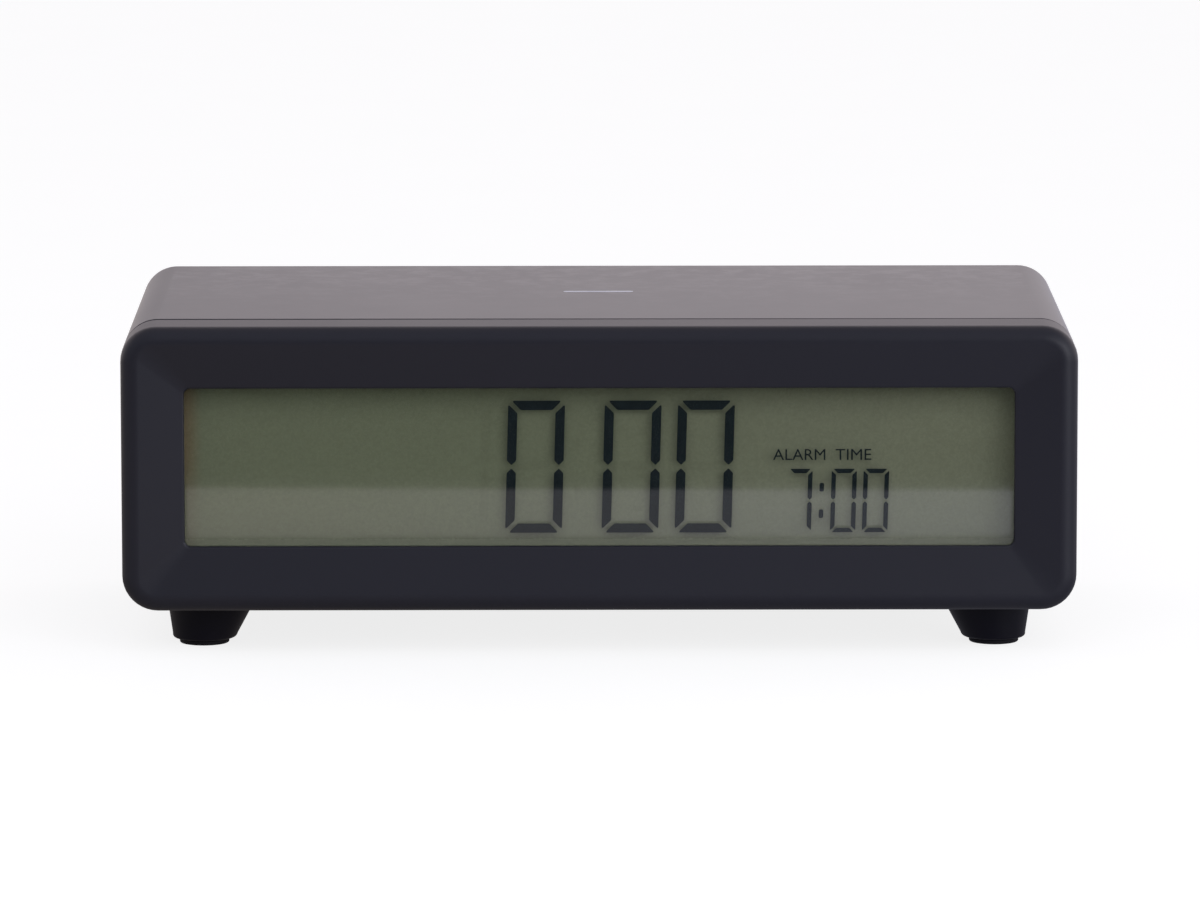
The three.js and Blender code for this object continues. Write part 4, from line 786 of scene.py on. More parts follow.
# Backlight: a clear acrylic guide with etched dots, lit from its right end by one white lamp. Both lie behind
# the reflector.
FINE_EASE, EASE, BROAD_EASE = 0.12, 0.15, 0.2
guide_acrylic, tree = new_material("guide_acrylic")
dots = node(tree, "TexVoronoi", {"Vector": node(tree, "TexCoord")["Object"], "Scale": 900.0})["Distance"]
etched = ramp(tree, dots, 0.15, 0.30, 0.55, 0.12)
coat(tree, {"Base Color": srgb(226, 232, 230), "Roughness": etched, "IOR": 1.49, "Alpha": 0.55})
dress("light_guide", guide_acrylic, FINE_EASE)
white_moulding = moulded_plastic("white_moulding", srgb(214, 212, 205), 0.5, 2600.0, 0.000003, 0.05, 0.1)
dress("backlight_led", white_moulding, FINE_EASE)


# Display holder and contact strip: the white tray that the glass lies in, and the striped rubber strip that
# carries its contacts to the board. The tray is screwed between the bezel's bosses and the board.
dress("lcd_holder", white_moulding, FINE_EASE)
zebra_rubber, tree = new_material("zebra_rubber")
along = node(tree, "TexCoord")["Object"]
bands = node(tree, "TexWave", {"Vector": along, "Scale": 1250.0, "Distortion": 0.0})["Fac"]
striped = blend(tree, ramp(tree, bands, 0.45, 0.55), srgb(36, 36, 38), srgb(170, 150, 150))
matt = ramp(tree, noise(tree, 3000.0), *NOISE_SPAN, 0.6, 0.75)
coat(tree, {"Base Color": striped, "Roughness": matt})
dress("zebra_strip", zebra_rubber)


# Circuit boards: glass-fibre board with green solder mask, copper tracks showing under it as lighter lines.
# The main board is screwed behind the display, the control board hangs on stakes of the rear cover.
solder_mask, tree = new_material("solder_mask")
place = node(tree, "TexCoord")["Object"]
cells = node(tree, "TexVoronoi", {"Vector": place, "Scale": 420.0}, distance="MANHATTAN")["Distance"]
tracks = ramp(tree, cells, 0.42, 0.48)
weave = ramp(tree, noise(tree, 5200.0, 2.0, 0.6), *NOISE_SPAN, 0.28, 0.42)
raised = node(tree, "Bump", {"Height": tracks, "Distance": 0.00003, "Strength": 0.5})[0]
mask_tone = blend(tree, tracks, srgb(22, 74, 44), srgb(40, 104, 62))
coat(tree, {"Base Color": mask_tone, "Roughness": weave, "Normal": raised})
for board in ("main_board", "control_board"):
    dress(board, solder_mask)


# Chip and buzzer: the driver chip on the main board under its dab of black epoxy, and the sounder's moulded
# black case behind its slots in the rear cover.
black_epoxy = moulded_plastic("black_epoxy", srgb(24, 24, 26), 0.34, 900.0, 0.00002, 0.15, 0.0)
for part in ("driver_chip", "buzzer"):
    dress(part, black_epoxy, BROAD_EASE)


# Steel parts: the crystal's drawn can, the hinge pins and the switch's folded housing, all plated and bright.
# The can and the housing are soldered to their boards, and the plate turns on the pins.
BLOOM_TONE = 0.72
BLOOM_POLISH, BLOOM_DULL = 0.06, 0.1


def plated_steel(name, colour, roughness):
    """Plated steel with fine drawing lines and a duller bloom in patches."""
    material, tree = new_material(name)
    lines = noise(tree, 2400.0, 2.0, 0.7, (0.12, 1.0, 1.0))
    bloom = noise(tree, 180.0, 4.0, 0.65)
    dulled = tuple(c * BLOOM_TONE for c in colour[:3]) + (1.0,)
    tone = blend(tree, ramp(tree, bloom, 0.35, 0.75), colour, dulled)
    uneven = arithmetic(tree, "ADD", lines, bloom)
    rough = ramp(tree, uneven, 0.7, 1.3, roughness - BLOOM_POLISH, roughness + BLOOM_DULL)
    drawn = node(tree, "Bump", {"Height": lines, "Distance": 0.000004, "Strength": 0.6})[0]
    coat(tree, {"Base Color": tone, "Roughness": rough, "Metallic": 1.0, "Normal": drawn})
    return material


bright_plate = plated_steel("bright_plate", srgb(196, 196, 192), 0.28)
for part in ("quartz_crystal", "pivot_pin_left", "pivot_pin_right", "alarm_switch_body"):
    dress(part, bright_plate, EASE)


# Screws: twelve pan-headed steel screws with cross recesses and rolled threads, four each for the board, the
# cover and the feet.
BOARD_SCREW_HEAD = 1.3
FOOT_SCREW_HEAD = 1.8
SCREW_SHANK = 0.55
SCREW_POINT = 0.5
SCREW_TIP = 0.45
THREAD_ROOT = 0.82
THREAD_START = 0.5
THREAD_PITCH = 0.45
THREAD_RISE = 0.2
THREAD_END = 0.01
HEAD_FOOT = 0.96
HEAD_FOOT_RISE = 0.12
HEAD_SIDE = 0.45
HEAD_CROWN = 0.5
HEAD_FLAT = 0.62
RECESS_DEPTH = 0.75
RECESS_ARM = 0.62
RECESS_HALF_WIDTH = 0.13
LATHE_END = 0.05
FEET = ("front_left", "front_right", "rear_left", "rear_right")


def block(one, other):
    """A plain cutter or rib between two opposite corners."""
    spans = [sorted(pair) for pair in zip(one, other)]
    (near_x, far_x), (near_y, far_y), heights = spans
    ring = [(near_x, near_y), (far_x, near_y), (far_x, far_y), (near_x, far_y)]
    return skin([[Vector((x, y, z)) for x, y in ring] for z in heights])


def screw_mesh(low, high, axis, head):
    """A pan-headed screw in its CAD box, its head towards the far end of the axis, with a threaded shank."""
    along = "XYZ".index(axis)
    centre = (low + high) / 2
    centre[along] = low[along]
    length = high[along] - low[along]
    head_radius = max(high[(along + turn) % 3] - low[(along + turn) % 3] for turn in (1, 2)) / 2
    shank = head_radius * SCREW_SHANK
    seat = length - head
    section = [(LATHE_END, 0.0), (shank * SCREW_POINT, SCREW_TIP)]
    turns = int((seat - THREAD_START) / THREAD_PITCH)
    for turn in range(turns):
        base = THREAD_START + turn * (seat - THREAD_START) / turns
        section += [(shank * THREAD_ROOT, base), (shank, base + THREAD_RISE)]
    section += [(shank * THREAD_ROOT, seat - THREAD_END), (head_radius * HEAD_FOOT, seat)]
    section.append((head_radius, seat + HEAD_FOOT_RISE))
    for angle in arc(5):
        radius = head_radius * (HEAD_FLAT + (1 - HEAD_FLAT) * math.cos(angle))
        section.append((radius, seat + head * (HEAD_SIDE + HEAD_CROWN * math.sin(angle))))
    section.append((LATHE_END, length))
    top = centre.copy()
    top[along] = high[along]
    cutters = []
    for turn in (0, 1):
        reach = Vector((RECESS_DEPTH, RECESS_DEPTH, RECESS_DEPTH))
        reach[(along + 1 + turn) % 3] = head_radius * RECESS_ARM
        reach[(along + 2 - turn) % 3] = head_radius * RECESS_HALF_WIDTH
        cutters.append(block(top - reach, top + reach))
    return carved(lathe(section, centre, axis, 32), cut=cutters)


screw_steel = plated_steel("screw_steel", srgb(150, 150, 150), 0.33)
screw_sets = (
    ("board_screw_", "Y", BOARD_SCREW_HEAD, SCREW_CORNERS),
    ("rear_screw_", "Y", BOARD_SCREW_HEAD, SCREW_CORNERS),
    ("foot_screw_", "Z", FOOT_SCREW_HEAD, FEET),
)
for kind, axis, head, places in screw_sets:
    for name in places:
        mesh = screw_mesh(*node_box(kind + name), axis, head)
        piece("fixing_" + kind + name, mesh, screw_steel, "steel", "case", kind + name)


# Lower case: the U-shaped tray of the sleeve, moulded in the bezel's charcoal, with the battery bay, the
# ledges that carry the deck and the bosses for the cover's lower screws. Behind the hinge each wall steps up
# to the plate and closes the end of the joint.
SLEEVE_SOFT = 0.35
SLEEVE_INNER_CORNER = 3.4
FIT = 0.3
SEAT = 0.1
PAST = 1.0
TONGUE_HALF = 68.0
TONGUE_THICK = 1.5
TONGUE_ROOT = 1.0
SKIN_INSET = 0.5
BAY_WALL = 1.6
BAY_LEDGE = 1.5
DOOR_TAB_REACH = 2.0
DOOR_TAB_X = 18.0
DOOR_TAB_HALF = 4.0
TAB_FLOOR = 0.45
TAB_SWING_ROOM = 4.0
LEDGE_LENGTH = 8.0
LEDGE_HEIGHT = 3.0
LEDGE_REACH = 2.1
LEDGE_START = 1.7
COVER_BOSS_RADIUS = 3.0
COVER_BOSS_LENGTH = 6.0
COVER_BOSS_BORE = 0.9
STEP_LENGTH = 6.0
STEP_INSET = 0.2
STEP_ROOM = 0.35
LEAD_SLOT_DEPTH = 0.7
LEAD_SLOT_HALF = 1.8
FOOT_SCREW_BORE = 1.75


def rod(axis, radius, centre, start, end, sides=32):
    """A plain round cutter or boss along an axis, between two places on it."""
    middle = Vector(centre)
    middle["XYZ".index(axis)] = 0.0
    return lathe([(radius, place) for place in sorted((start, end))], middle, axis, sides)


def sleeve_ring(face_z, edge_z, y, inset):
    """The U section of the sleeve at one depth: outer skin with softened rims, then inner skin.

    The inner corners are tighter than the wall asks, so that the pressed plate clears the board's corners.
    """
    up = math.copysign(1.0, edge_z - face_z)
    outer = [(case_half - inset - rim, edge_z - up * run) for rim, run in eased(3, SLEEVE_SOFT)]
    inner = [(case_half - WALL, edge_z)]
    corners = ((outer, CORNER - inset, CORNER), (inner, SLEEVE_INNER_CORNER, WALL + SLEEVE_INNER_CORNER))
    for points, radius, reach in corners:
        for angle in arc(CORNER_STEPS):
            x = case_half - reach + radius * math.cos(angle)
            points.append((x, face_z + up * (reach - radius * math.sin(angle))))
    ring = outer + [(-x, z) for x, z in outer[::-1]] + [(-x, z) for x, z in inner] + inner[::-1]
    return [Vector((x, y, z)) for x, z in ring]


def sleeve(face_z, edge_z, start_y, end_y):
    """A run of the sleeve with both its ends softened."""
    ends = [(start_y + run, inset) for inset, run in eased(3, SLEEVE_SOFT)]
    ends += [(end_y - run, inset) for inset, run in eased(3, SLEEVE_SOFT)[::-1]]
    return skin([sleeve_ring(face_z, edge_z, y, inset) for y, inset in ends])


plate_low, plate_high = node_box("snooze_plate")
tray_low, tray_high = node_box("lower_case")
door_low, door_high = node_box("battery_door")
deck_low, deck_high = node_box("top_deck")
cover_low, cover_high = node_box("rear_cover")
sleeve_front_y = plate_low.y
back_y = plate_high.y
floor_z = tray_low.z + WALL
door_back_y = door_high.y - DOOR_TAB_REACH
bay_y = (door_low.y + door_back_y) / 2
pocket_x = door_high.x + FIT
pocket_y = (door_back_y - door_low.y) / 2 + FIT
pocket_top_z = door_high.z + SEAT
bay_x = pocket_x - BAY_LEDGE
bay_half_y = pocket_y - BAY_LEDGE
bay_ceiling_z = node_box("battery_cell_front")[1].z + FIT
bay_roof_z = bay_ceiling_z + BAY_WALL
bay_back_y = bay_y + pocket_y + BAY_WALL + DOOR_TAB_REACH
cover_front_y = cover_high.y - WALL
boss_front_y = cover_front_y - COVER_BOSS_LENGTH
boss_back_y = cover_front_y - SEAT
ledge_z = deck_low.z - SEAT
joined = [
    block((-pocket_x - BAY_WALL, bay_y - pocket_y - BAY_WALL, tray_low.z + SKIN_INSET),
          (pocket_x + BAY_WALL, bay_back_y, bay_roof_z)),
    block((-TONGUE_HALF, tray_low.y, floor_z + FIT),
          (TONGUE_HALF, sleeve_front_y + WALL, floor_z + FIT + TONGUE_THICK)),
    block((-TONGUE_HALF, sleeve_front_y + SKIN_INSET, floor_z - FIT),
          (TONGUE_HALF, sleeve_front_y + WALL, floor_z + FIT + TONGUE_ROOT)),
]
cut = [
    block((-pocket_x, bay_y - pocket_y, tray_low.z - PAST), (pocket_x, bay_y + pocket_y, pocket_top_z)),
    block((-bay_x, bay_y - bay_half_y, tray_low.z), (bay_x, bay_y + bay_half_y, bay_ceiling_z)),
]
for side, hand, contact in ((-1, "left", "contact_positive"), (1, "right", "contact_negative")):
    boss = mid_of("rear_screw_lower_" + hand)
    joined.append(rod("Y", COVER_BOSS_RADIUS, boss, boss_front_y, boss_back_y))
    joined.append(block((boss.x - COVER_BOSS_RADIUS / 2, boss_front_y, floor_z - FIT),
                        (boss.x + COVER_BOSS_RADIUS / 2, boss_back_y, boss.z)))
    cut.append(rod("Y", COVER_BOSS_BORE, boss, boss_front_y + PAST, cover_front_y + PAST))
    for y in (deck_low.y + LEDGE_START, deck_high.y - LEDGE_LENGTH):
        joined.append(block((side * (case_half - WALL - LEDGE_REACH), y, ledge_z - LEDGE_HEIGHT),
                            (side * (case_half - WALL + FIT), y + LEDGE_LENGTH, ledge_z)))
    step_z = tray_high.z - SLEEVE_SOFT - STEP_INSET
    joined.append(block((side * (case_half - WALL + STEP_INSET), back_y - STEP_LENGTH, step_z),
                        (side * (case_half - STEP_INSET), back_y - STEP_INSET, plate_low.z - STEP_ROOM)))
    tab = side * DOOR_TAB_X
    cut.append(block((tab - DOOR_TAB_HALF - FIT, bay_y + bay_half_y - FIT, tray_low.z + TAB_FLOOR),
                     (tab + DOOR_TAB_HALF + FIT, bay_back_y + PAST, pocket_top_z + TAB_SWING_ROOM)))
    lead_y = mid_of(contact).y
    cut.append(block((bay_x - LEAD_SLOT_DEPTH, lead_y - LEAD_SLOT_HALF, bay_ceiling_z - PAST),
                     (bay_x + FIT, lead_y + LEAD_SLOT_HALF, bay_roof_z + PAST)))
    for end in ("front_", "rear_"):
        foot_screw = mid_of("foot_screw_" + end + hand)
        cut.append(rod("Z", FOOT_SCREW_BORE, foot_screw, tray_low.z - PAST, floor_z + PAST))
case_charcoal = moulded_plastic("case_charcoal", srgb(30, 30, 39), 0.37, dust=0.06)
tray_mesh = carved(sleeve(tray_low.z, tray_high.z, sleeve_front_y, back_y), joined, cut)
piece("case_tray", tray_mesh, case_charcoal, "case_plastic", "case", "lower_case")


# Feet: four splayed legs moulded in near-black plastic, each held by a screw from inside the tray, with a
# round rubber pad pressed into its end.
LEG_TOP_RADIUS = 7.62
LEG_END_RADIUS = 5.5
LEG_END_ROUND = 0.7
LEG_TOP_ROUND = 0.3
LEG_BORE = 1.25
PAD_ROUND = 0.3
PAD_CHAMFER = 0.1
PAD_PEG_RADIUS = 1.8
foot_black = moulded_plastic("foot_black", srgb(9, 8, 20), 0.45, 3000.0, wear=0.3, gloss=0.25)
pad_rubber = moulded_plastic("pad_rubber", srgb(17, 16, 21), 0.7, 2400.0, 0.00001, 0.2, 0.0, gloss=0.3)
for end in FEET:
    foot_low, foot_high = node_box("foot_" + end)
    pad_low, pad_high = node_box("foot_pad_" + end)
    top = mid_of("foot_screw_" + end)
    pad = (pad_low + pad_high) / 2
    levels = [(foot_low.z + run, LEG_END_RADIUS - inset) for inset, run in eased(5, LEG_END_ROUND)]
    levels += [(foot_high.z - run, LEG_TOP_RADIUS - inset) for inset, run in eased(3, LEG_TOP_ROUND)[::-1]]
    rings = []
    for z, radius in levels:
        centre = pad.lerp(top, (z - foot_low.z) / (foot_high.z - foot_low.z))
        rings.append(circle((centre.x, centre.y, z), radius, "Z", 64))
    well = rod("Z", PAD_PEG_RADIUS + SEAT, pad, foot_low.z - PAST, pad_high.z + SEAT)
    bore = rod("Z", LEG_BORE, top, node_box("foot_screw_" + end)[0].z - SEAT, foot_high.z + PAST)
    leg_mesh = carved(skin(rings), cut=(well, bore))
    piece("leg_" + end, leg_mesh, foot_black, "foot_plastic", "case", "foot_" + end)
    pad_radius = (pad_high.x - pad_low.x) / 2
    pad_top = foot_low.z - SEAT
    section = [(LATHE_END, 0.0)] + [(pad_radius - inset, run) for inset, run in eased(4, PAD_ROUND)]
    section += [(pad_radius, pad_top - PAD_CHAMFER), (pad_radius - PAD_CHAMFER, pad_top)]
    section += [(PAD_PEG_RADIUS, pad_top), (PAD_PEG_RADIUS, pad_high.z - PAD_ROUND)]
    section += [(PAD_PEG_RADIUS - PAD_ROUND, pad_high.z), (LATHE_END, pad_high.z)]
    pad_mesh = lathe(section, (pad.x, pad.y, 0.0), "Z", 64)
    piece("sole_" + end, pad_mesh, pad_rubber, "rubber", "case", "foot_pad_" + end)


# Battery contacts and leads: plated spring steel, stamped, with a wound coil for each negative end. The leads
# are stranded wire in PVC, soldered to the tabs and to the main board.
CONTACT_THICK = 0.4
CONTACT_HALF = 5.0
CONTACT_CORNER = 0.8
CONTACT_EDGE = 0.1
CONTACT_TAB_HALF = 1.5
CONTACT_TAB_CORNER = 0.5
CONTACT_LAP = 0.5
BUMP_SECTION = ((3.0, 0.2), (2.9, 0.45))
BUMP_CROWN = 2.6
BUMP_SHOULDER, BUMP_HEIGHT = 0.6, 1.0
COIL_TURNS = 3
COIL_WIRE = 0.4
COIL_RADII = (3.6, 2.0)
COIL_CLEAR = 1.02


def coil(centre, axis, start, end, radii, turns, wire, closed_turns=0.6, sides=10):
    """An unbroken wound wire, its end turns closed up, along an axis between two places."""
    along = "XYZ".index(axis)
    first, second = [(1, 2), (2, 0), (0, 1)][along]
    steps = int(turns * 32)
    pitch = wire * COIL_CLEAR
    open_turns = turns - 2 * closed_turns
    path = []
    for i in range(steps + 1):
        turn = turns * i / steps
        inner = min(max(turn - closed_turns, 0.0), open_turns)
        closing = min(turn, closed_turns) + max(turn - turns + closed_turns, 0.0)
        rise = closing * pitch + inner / open_turns * (abs(end - start) - 2 * closed_turns * pitch)
        radius = radii[0] + (radii[1] - radii[0]) * i / steps
        point = Vector(centre)
        point[along] = start + math.copysign(rise, end - start)
        point[first] += radius * math.cos(2 * math.pi * turn)
        point[second] += radius * math.sin(2 * math.pi * turn)
        path.append(point)
    angles = [2 * math.pi * k / sides for k in range(sides)]
    rings = []
    for i, point in enumerate(path):
        ahead = (path[min(i + 1, steps)] - path[max(i - 1, 0)]).normalized()
        out = point - Vector(centre)
        out[along] = 0.0
        out.normalize()
        across = ahead.cross(out).normalized()
        out = across.cross(ahead)
        rings.append([point + (out * math.cos(a) + across * math.sin(a)) * wire / 2 for a in angles])
    return skin(rings)


bump_section = list(BUMP_SECTION)
for angle in arc(4)[:-1]:
    rise = BUMP_SHOULDER + (BUMP_HEIGHT - BUMP_SHOULDER) * math.sin(angle)
    bump_section.append((BUMP_CROWN * math.cos(angle), rise))
bump_section.append((LATHE_END, BUMP_HEIGHT))
front_cell, rear_cell = mid_of("battery_cell_front"), mid_of("battery_cell_rear")
for name, bump_at, coil_at in (("contact_positive", front_cell, None), ("contact_negative", None, rear_cell),
                               ("contact_bridge", rear_cell, front_cell)):
    contact_low, contact_high = node_box(name)
    right = name != "contact_bridge"
    outer_x, tip_x = (contact_high.x, contact_low.x) if right else (contact_low.x, contact_high.x)
    inward = -1.0 if right else 1.0
    near_x, far_x = sorted((outer_x, outer_x + inward * CONTACT_THICK))
    cell_z = front_cell.z
    sheet_low = Vector((near_x, contact_low.y, cell_z - CONTACT_HALF))
    sheet_high = Vector((far_x, contact_high.y, cell_z + CONTACT_HALF))
    parts = [plate(sheet_low, sheet_high, "X", CONTACT_CORNER, CONTACT_EDGE, 4)]
    if bump_at is not None:
        bump = [(radius, inward * along) for radius, along in bump_section]
        parts.append(lathe(bump, (outer_x, bump_at.y, cell_z), "X", 40))
    if coil_at is not None:
        start_x = outer_x + inward * (CONTACT_THICK + COIL_WIRE / 2)
        end_x = tip_x - inward * COIL_WIRE / 2
        centre = (outer_x, coil_at.y, cell_z)
        parts.append(coil(centre, "X", start_x, end_x, COIL_RADII, COIL_TURNS, COIL_WIRE))
    if right:
        tab_y = (contact_low.y + contact_high.y) / 2
        tab_low = Vector((near_x, tab_y - CONTACT_TAB_HALF, cell_z + CONTACT_HALF - CONTACT_LAP))
        tab_high = Vector((far_x, tab_y + CONTACT_TAB_HALF, contact_high.z))
        parts.append(plate(tab_low, tab_high, "X", CONTACT_TAB_CORNER, CONTACT_EDGE, 4))
    piece(name.replace("contact", "cell_contact"), together(*parts), bright_plate, "steel", "case", name)
for lead, jacket, colour in (("battery_lead_red", "red_pvc", srgb(168, 30, 28)),
                             ("battery_lead_black", "black_pvc", srgb(28, 28, 30)),
                             ("ribbon_cable", "grey_ribbon", srgb(160, 160, 158))):
    dress(lead, moulded_plastic(jacket, colour, 0.42, 1800.0, 0.000006, 0.12, 0.0))


# Deck and snooze switch: the inner deck that closes the tray and carries the plate's hinge ears and springs,
# with the small push switch in its front edge.
inner_black = moulded_plastic("inner_black", srgb(26, 26, 29), 0.5, 2600.0, 0.000005, 0.12, 0.1)
dress("top_deck", inner_black, EASE)
dress("snooze_switch", inner_black, EASE)
dress("snooze_plunger", white_moulding, BROAD_EASE)


# Snooze springs: two wound steel springs over the deck's pegs, pushing the plate up.
SPRING_WIRE = 0.6
SPRING_TURNS = 6
SPRING_CLOSED = 0.8
for hand in ("left", "right"):
    spring_low, spring_high = node_box("snooze_spring_" + hand)
    centre = (spring_low + spring_high) / 2
    radius = (spring_high.x - spring_low.x - SPRING_WIRE) / 2
    start_z, end_z = spring_low.z + SPRING_WIRE / 2, spring_high.z - SPRING_WIRE / 2
    wound = coil(centre, "Z", start_z, end_z, (radius, radius), SPRING_TURNS, SPRING_WIRE, SPRING_CLOSED)
    spring = piece("plate_spring_" + hand, wound, bright_plate, "steel", "case", "snooze_spring_" + hand)
    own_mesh(spring)


# Snooze plate: the whole top of the sleeve, moulded in the same charcoal and hinged at its back, with a pale
# bar printed where a finger presses. It sits a little askew: the joint behind the bezel is wider on the left.
PRINT_THICK = 0.02
BAR_HALF_LENGTH = 6.0
BAR_HALF_WIDTH = 0.7
EAR_THICK = 2.0
EAR_RADIUS = 2.4
EAR_GAP = 0.3
EAR_BORE = 1.1
PEG_RADIUS = 1.9
PEG_HEIGHT = 2.2
RIB_HALF_LENGTH = 6.0
RIB_HALF_WIDTH = 1.3
RIB_DROP = 2.6
JOINT_EASE = 0.08
JOINT_SKEW = 0.33
pivot = mid_of("pivot_pin_right")
ear_near = node_box("pivot_pin_right")[0].x + EAR_GAP
ear_far = ear_near + EAR_THICK
spring_place = mid_of("snooze_spring_right")
plate_top_z = plate_high.z - PRINT_THICK
plate_under_z = plate_high.z - WALL
root_z = plate_under_z + FIT
plunger_y = mid_of("snooze_plunger").y
joined = [block((-RIB_HALF_LENGTH, plunger_y - RIB_HALF_WIDTH, plate_under_z - RIB_DROP),
                (RIB_HALF_LENGTH, plunger_y + RIB_HALF_WIDTH, root_z))]
cut = []
for side in (-1, 1):
    joined.append(rod("X", EAR_RADIUS, pivot, side * ear_near, side * ear_far))
    joined.append(block((side * ear_near, pivot.y - EAR_RADIUS, pivot.z),
                        (side * ear_far, pivot.y + EAR_RADIUS, root_z)))
    peg = (side * spring_place.x, spring_place.y, 0.0)
    joined.append(rod("Z", PEG_RADIUS, peg, plate_under_z - PEG_HEIGHT, root_z))
    cut.append(rod("X", EAR_BORE, pivot, side * (ear_near - PAST), side * (ear_far + PAST)))
plate_sleeve = sleeve(plate_top_z, plate_low.z, sleeve_front_y, back_y)
for vert in plate_sleeve.verts:
    if vert.co.y < sleeve_front_y + WALL:
        vert.co.y += JOINT_EASE - JOINT_SKEW * vert.co.x / case_half
plate_mesh = carved(plate_sleeve, joined, cut)
piece("press_top", plate_mesh, case_charcoal, "case_plastic", "press_plate", "snooze_plate")
bar_outline = []
for end in (1, -1):
    for angle in arc(16, -math.pi / 2, math.pi / 2):
        x = end * (BAR_HALF_LENGTH - BAR_HALF_WIDTH + BAR_HALF_WIDTH * math.cos(angle))
        bar_outline.append((x, end * BAR_HALF_WIDTH * math.sin(angle)))
bar_y = (plate_low.y + plate_high.y) / 2
bar_levels = (plate_top_z - PRINT_THICK / 2, plate_high.z)
bar_rings = [[Vector((x, bar_y + y, z)) for x, y in bar_outline] for z in bar_levels]
printed_bar = moulded_plastic("printed_bar", srgb(206, 209, 220), 0.5, 3300.0, 0.000003, 0.06, 0.3)
piece("snooze_bar_print", skin(bar_rings), printed_bar, "case_plastic", "press_plate")


# Keypad: a sheet of moulded rubber with four domes, lying on the control board.
SHEET_THICK = 0.8
SHEET_CORNER = 1.0
SHEET_EDGE = 0.15
DOME_RADIUS = 2.6
DOME_FLARE = 0.3
DOME_SINK = 0.02
DOME_SKIRT = 0.35
DOME_TAPER = 0.2
DOME_ROUND = 0.3
BUTTON_BODIES = {"time_button": "time_key", "alarm_button": "alarm_key", "hour_button": "hour_key",
                 "minute_button": "minute_key"}
keypad_low, keypad_high = node_box("keypad_mat")
sheet_back_y = keypad_low.y + SHEET_THICK
dome_rise = keypad_high.y - sheet_back_y
key_rubber = moulded_plastic("key_rubber", srgb(120, 120, 116), 0.65, 2000.0, 0.000008, 0.1, 0.0)
sheet_high = Vector((keypad_high.x, sheet_back_y, keypad_high.z))
sheet_mesh = plate(keypad_low, sheet_high, "Y", SHEET_CORNER, SHEET_EDGE)
piece("keypad_sheet", sheet_mesh, key_rubber, "rubber", "case", "keypad_mat")
dome_section = [(DOME_RADIUS + DOME_FLARE, -DOME_SINK), (DOME_RADIUS, DOME_SKIRT)]
dome_section += [(DOME_RADIUS - DOME_TAPER - run, dome_rise - inset) for inset, run in eased(4, DOME_ROUND)]
dome_section.append((LATHE_END, dome_rise))
for button in BUTTON_BODIES:
    centre = mid_of(button)
    centre.y = sheet_back_y
    dome = piece("key_dome_" + button, lathe(dome_section, centre, "Y"), key_rubber, "rubber", "case")
    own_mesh(dome)


# Buttons: four round caps moulded in near-black plastic with dished ends, held by their flanges behind the
# cover.
BUTTON_RADIUS = 3.0
BUTTON_ROUND = 0.45
BUTTON_DISH = 0.35
BUTTON_RIM = 0.1
FLANGE_THICK = 1.4
FLANGE_EDGE = 0.15
button_black = moulded_plastic("button_black", srgb(30, 30, 33), 0.38, 3000.0, wear=0.4)
dish_radius = BUTTON_RADIUS - BUTTON_ROUND - BUTTON_RIM
for button, body in BUTTON_BODIES.items():
    button_low, button_high = node_box(button)
    centre = (button_low + button_high) / 2
    centre.y = button_low.y
    length = button_high.y - button_low.y
    flange = (button_high.x - button_low.x) / 2
    section = [(LATHE_END, 0.0), (flange - FLANGE_EDGE, 0.0), (flange, FLANGE_EDGE)]
    section += [(flange, FLANGE_THICK - FLANGE_EDGE), (flange - FLANGE_EDGE, FLANGE_THICK)]
    section += [(BUTTON_RADIUS + BUTTON_RIM, FLANGE_THICK), (BUTTON_RADIUS, FLANGE_THICK + BUTTON_RIM)]
    section += [(BUTTON_RADIUS - run, length - inset) for inset, run in eased(5, BUTTON_ROUND)]
    for i in range(1, 7):
        share = 1 - i / 6
        section.append((max(dish_radius * share, LATHE_END), length - BUTTON_DISH * (1 - share ** 2)))
    piece("cap_" + button, lathe(section, centre, "Y", 56), button_black, "button_plastic", body, button)


# Alarm slide knob: a small knob moulded in white plastic, with three grooves across its end for a fingertip.
# It slides in the switch's housing behind the cover.
KNOB_CORNER = 0.35
KNOB_EDGE = 0.2
KNOB_GROOVES = (-0.9, 0.0, 0.9)
GROOVE_HALF = 0.22
GROOVE_DEPTH = 0.35
knob_low, knob_high = node_box("alarm_switch_knob")
knob_mesh = plate(knob_low, knob_high, "Z", KNOB_CORNER, KNOB_EDGE, 4)
cut = []
for offset in KNOB_GROOVES:
    x = (knob_low.x + knob_high.x) / 2 + offset
    cut.append(block((x - GROOVE_HALF, knob_high.y - GROOVE_DEPTH, knob_low.z - PAST),
                     (x + GROOVE_HALF, knob_high.y + PAST, knob_high.z + PAST)))
piece("slide_knob", carved(knob_mesh, cut=cut), white_moulding, "white_plastic", "alarm_slider",
      "alarm_switch_knob")


# Rear cover: a flat charcoal panel set into the back of the sleeve, with the controls' openings, slots for
# the sounder and printed words by the controls. Four screws in counterbores hold it.
COVER_CORNER = 3.7
COVER_EDGE = 0.35
BUTTON_CLEAR = 3.3
COUNTERBORE = 2.1
SOUND_SLOTS = (-6.8, -3.4, 0.0, 3.4, 6.8)
SOUND_HALF_WIDTH = 0.8
SOUND_HALF_LENGTH = 7.0
SOUND_EDGE = 0.01
SWITCH_TRAVEL = 4.0
BUTTON_WORDS = (("TIME", "time_button", 5.4), ("ALARM", "alarm_button", 6.6), ("HOUR", "hour_button", 6.0),
                ("MIN", "minute_button", 4.2))
BUTTON_WORD_GAP = 1.2
SWITCH_WORD_GAP = 2.2
WORD_HEIGHT = 1.7
ON_SPAN = (2.8, 0.4)
OFF_SPAN = (-0.1, -3.1)
inside_y, outside_y = cover_front_y - PAST, cover_high.y + PAST
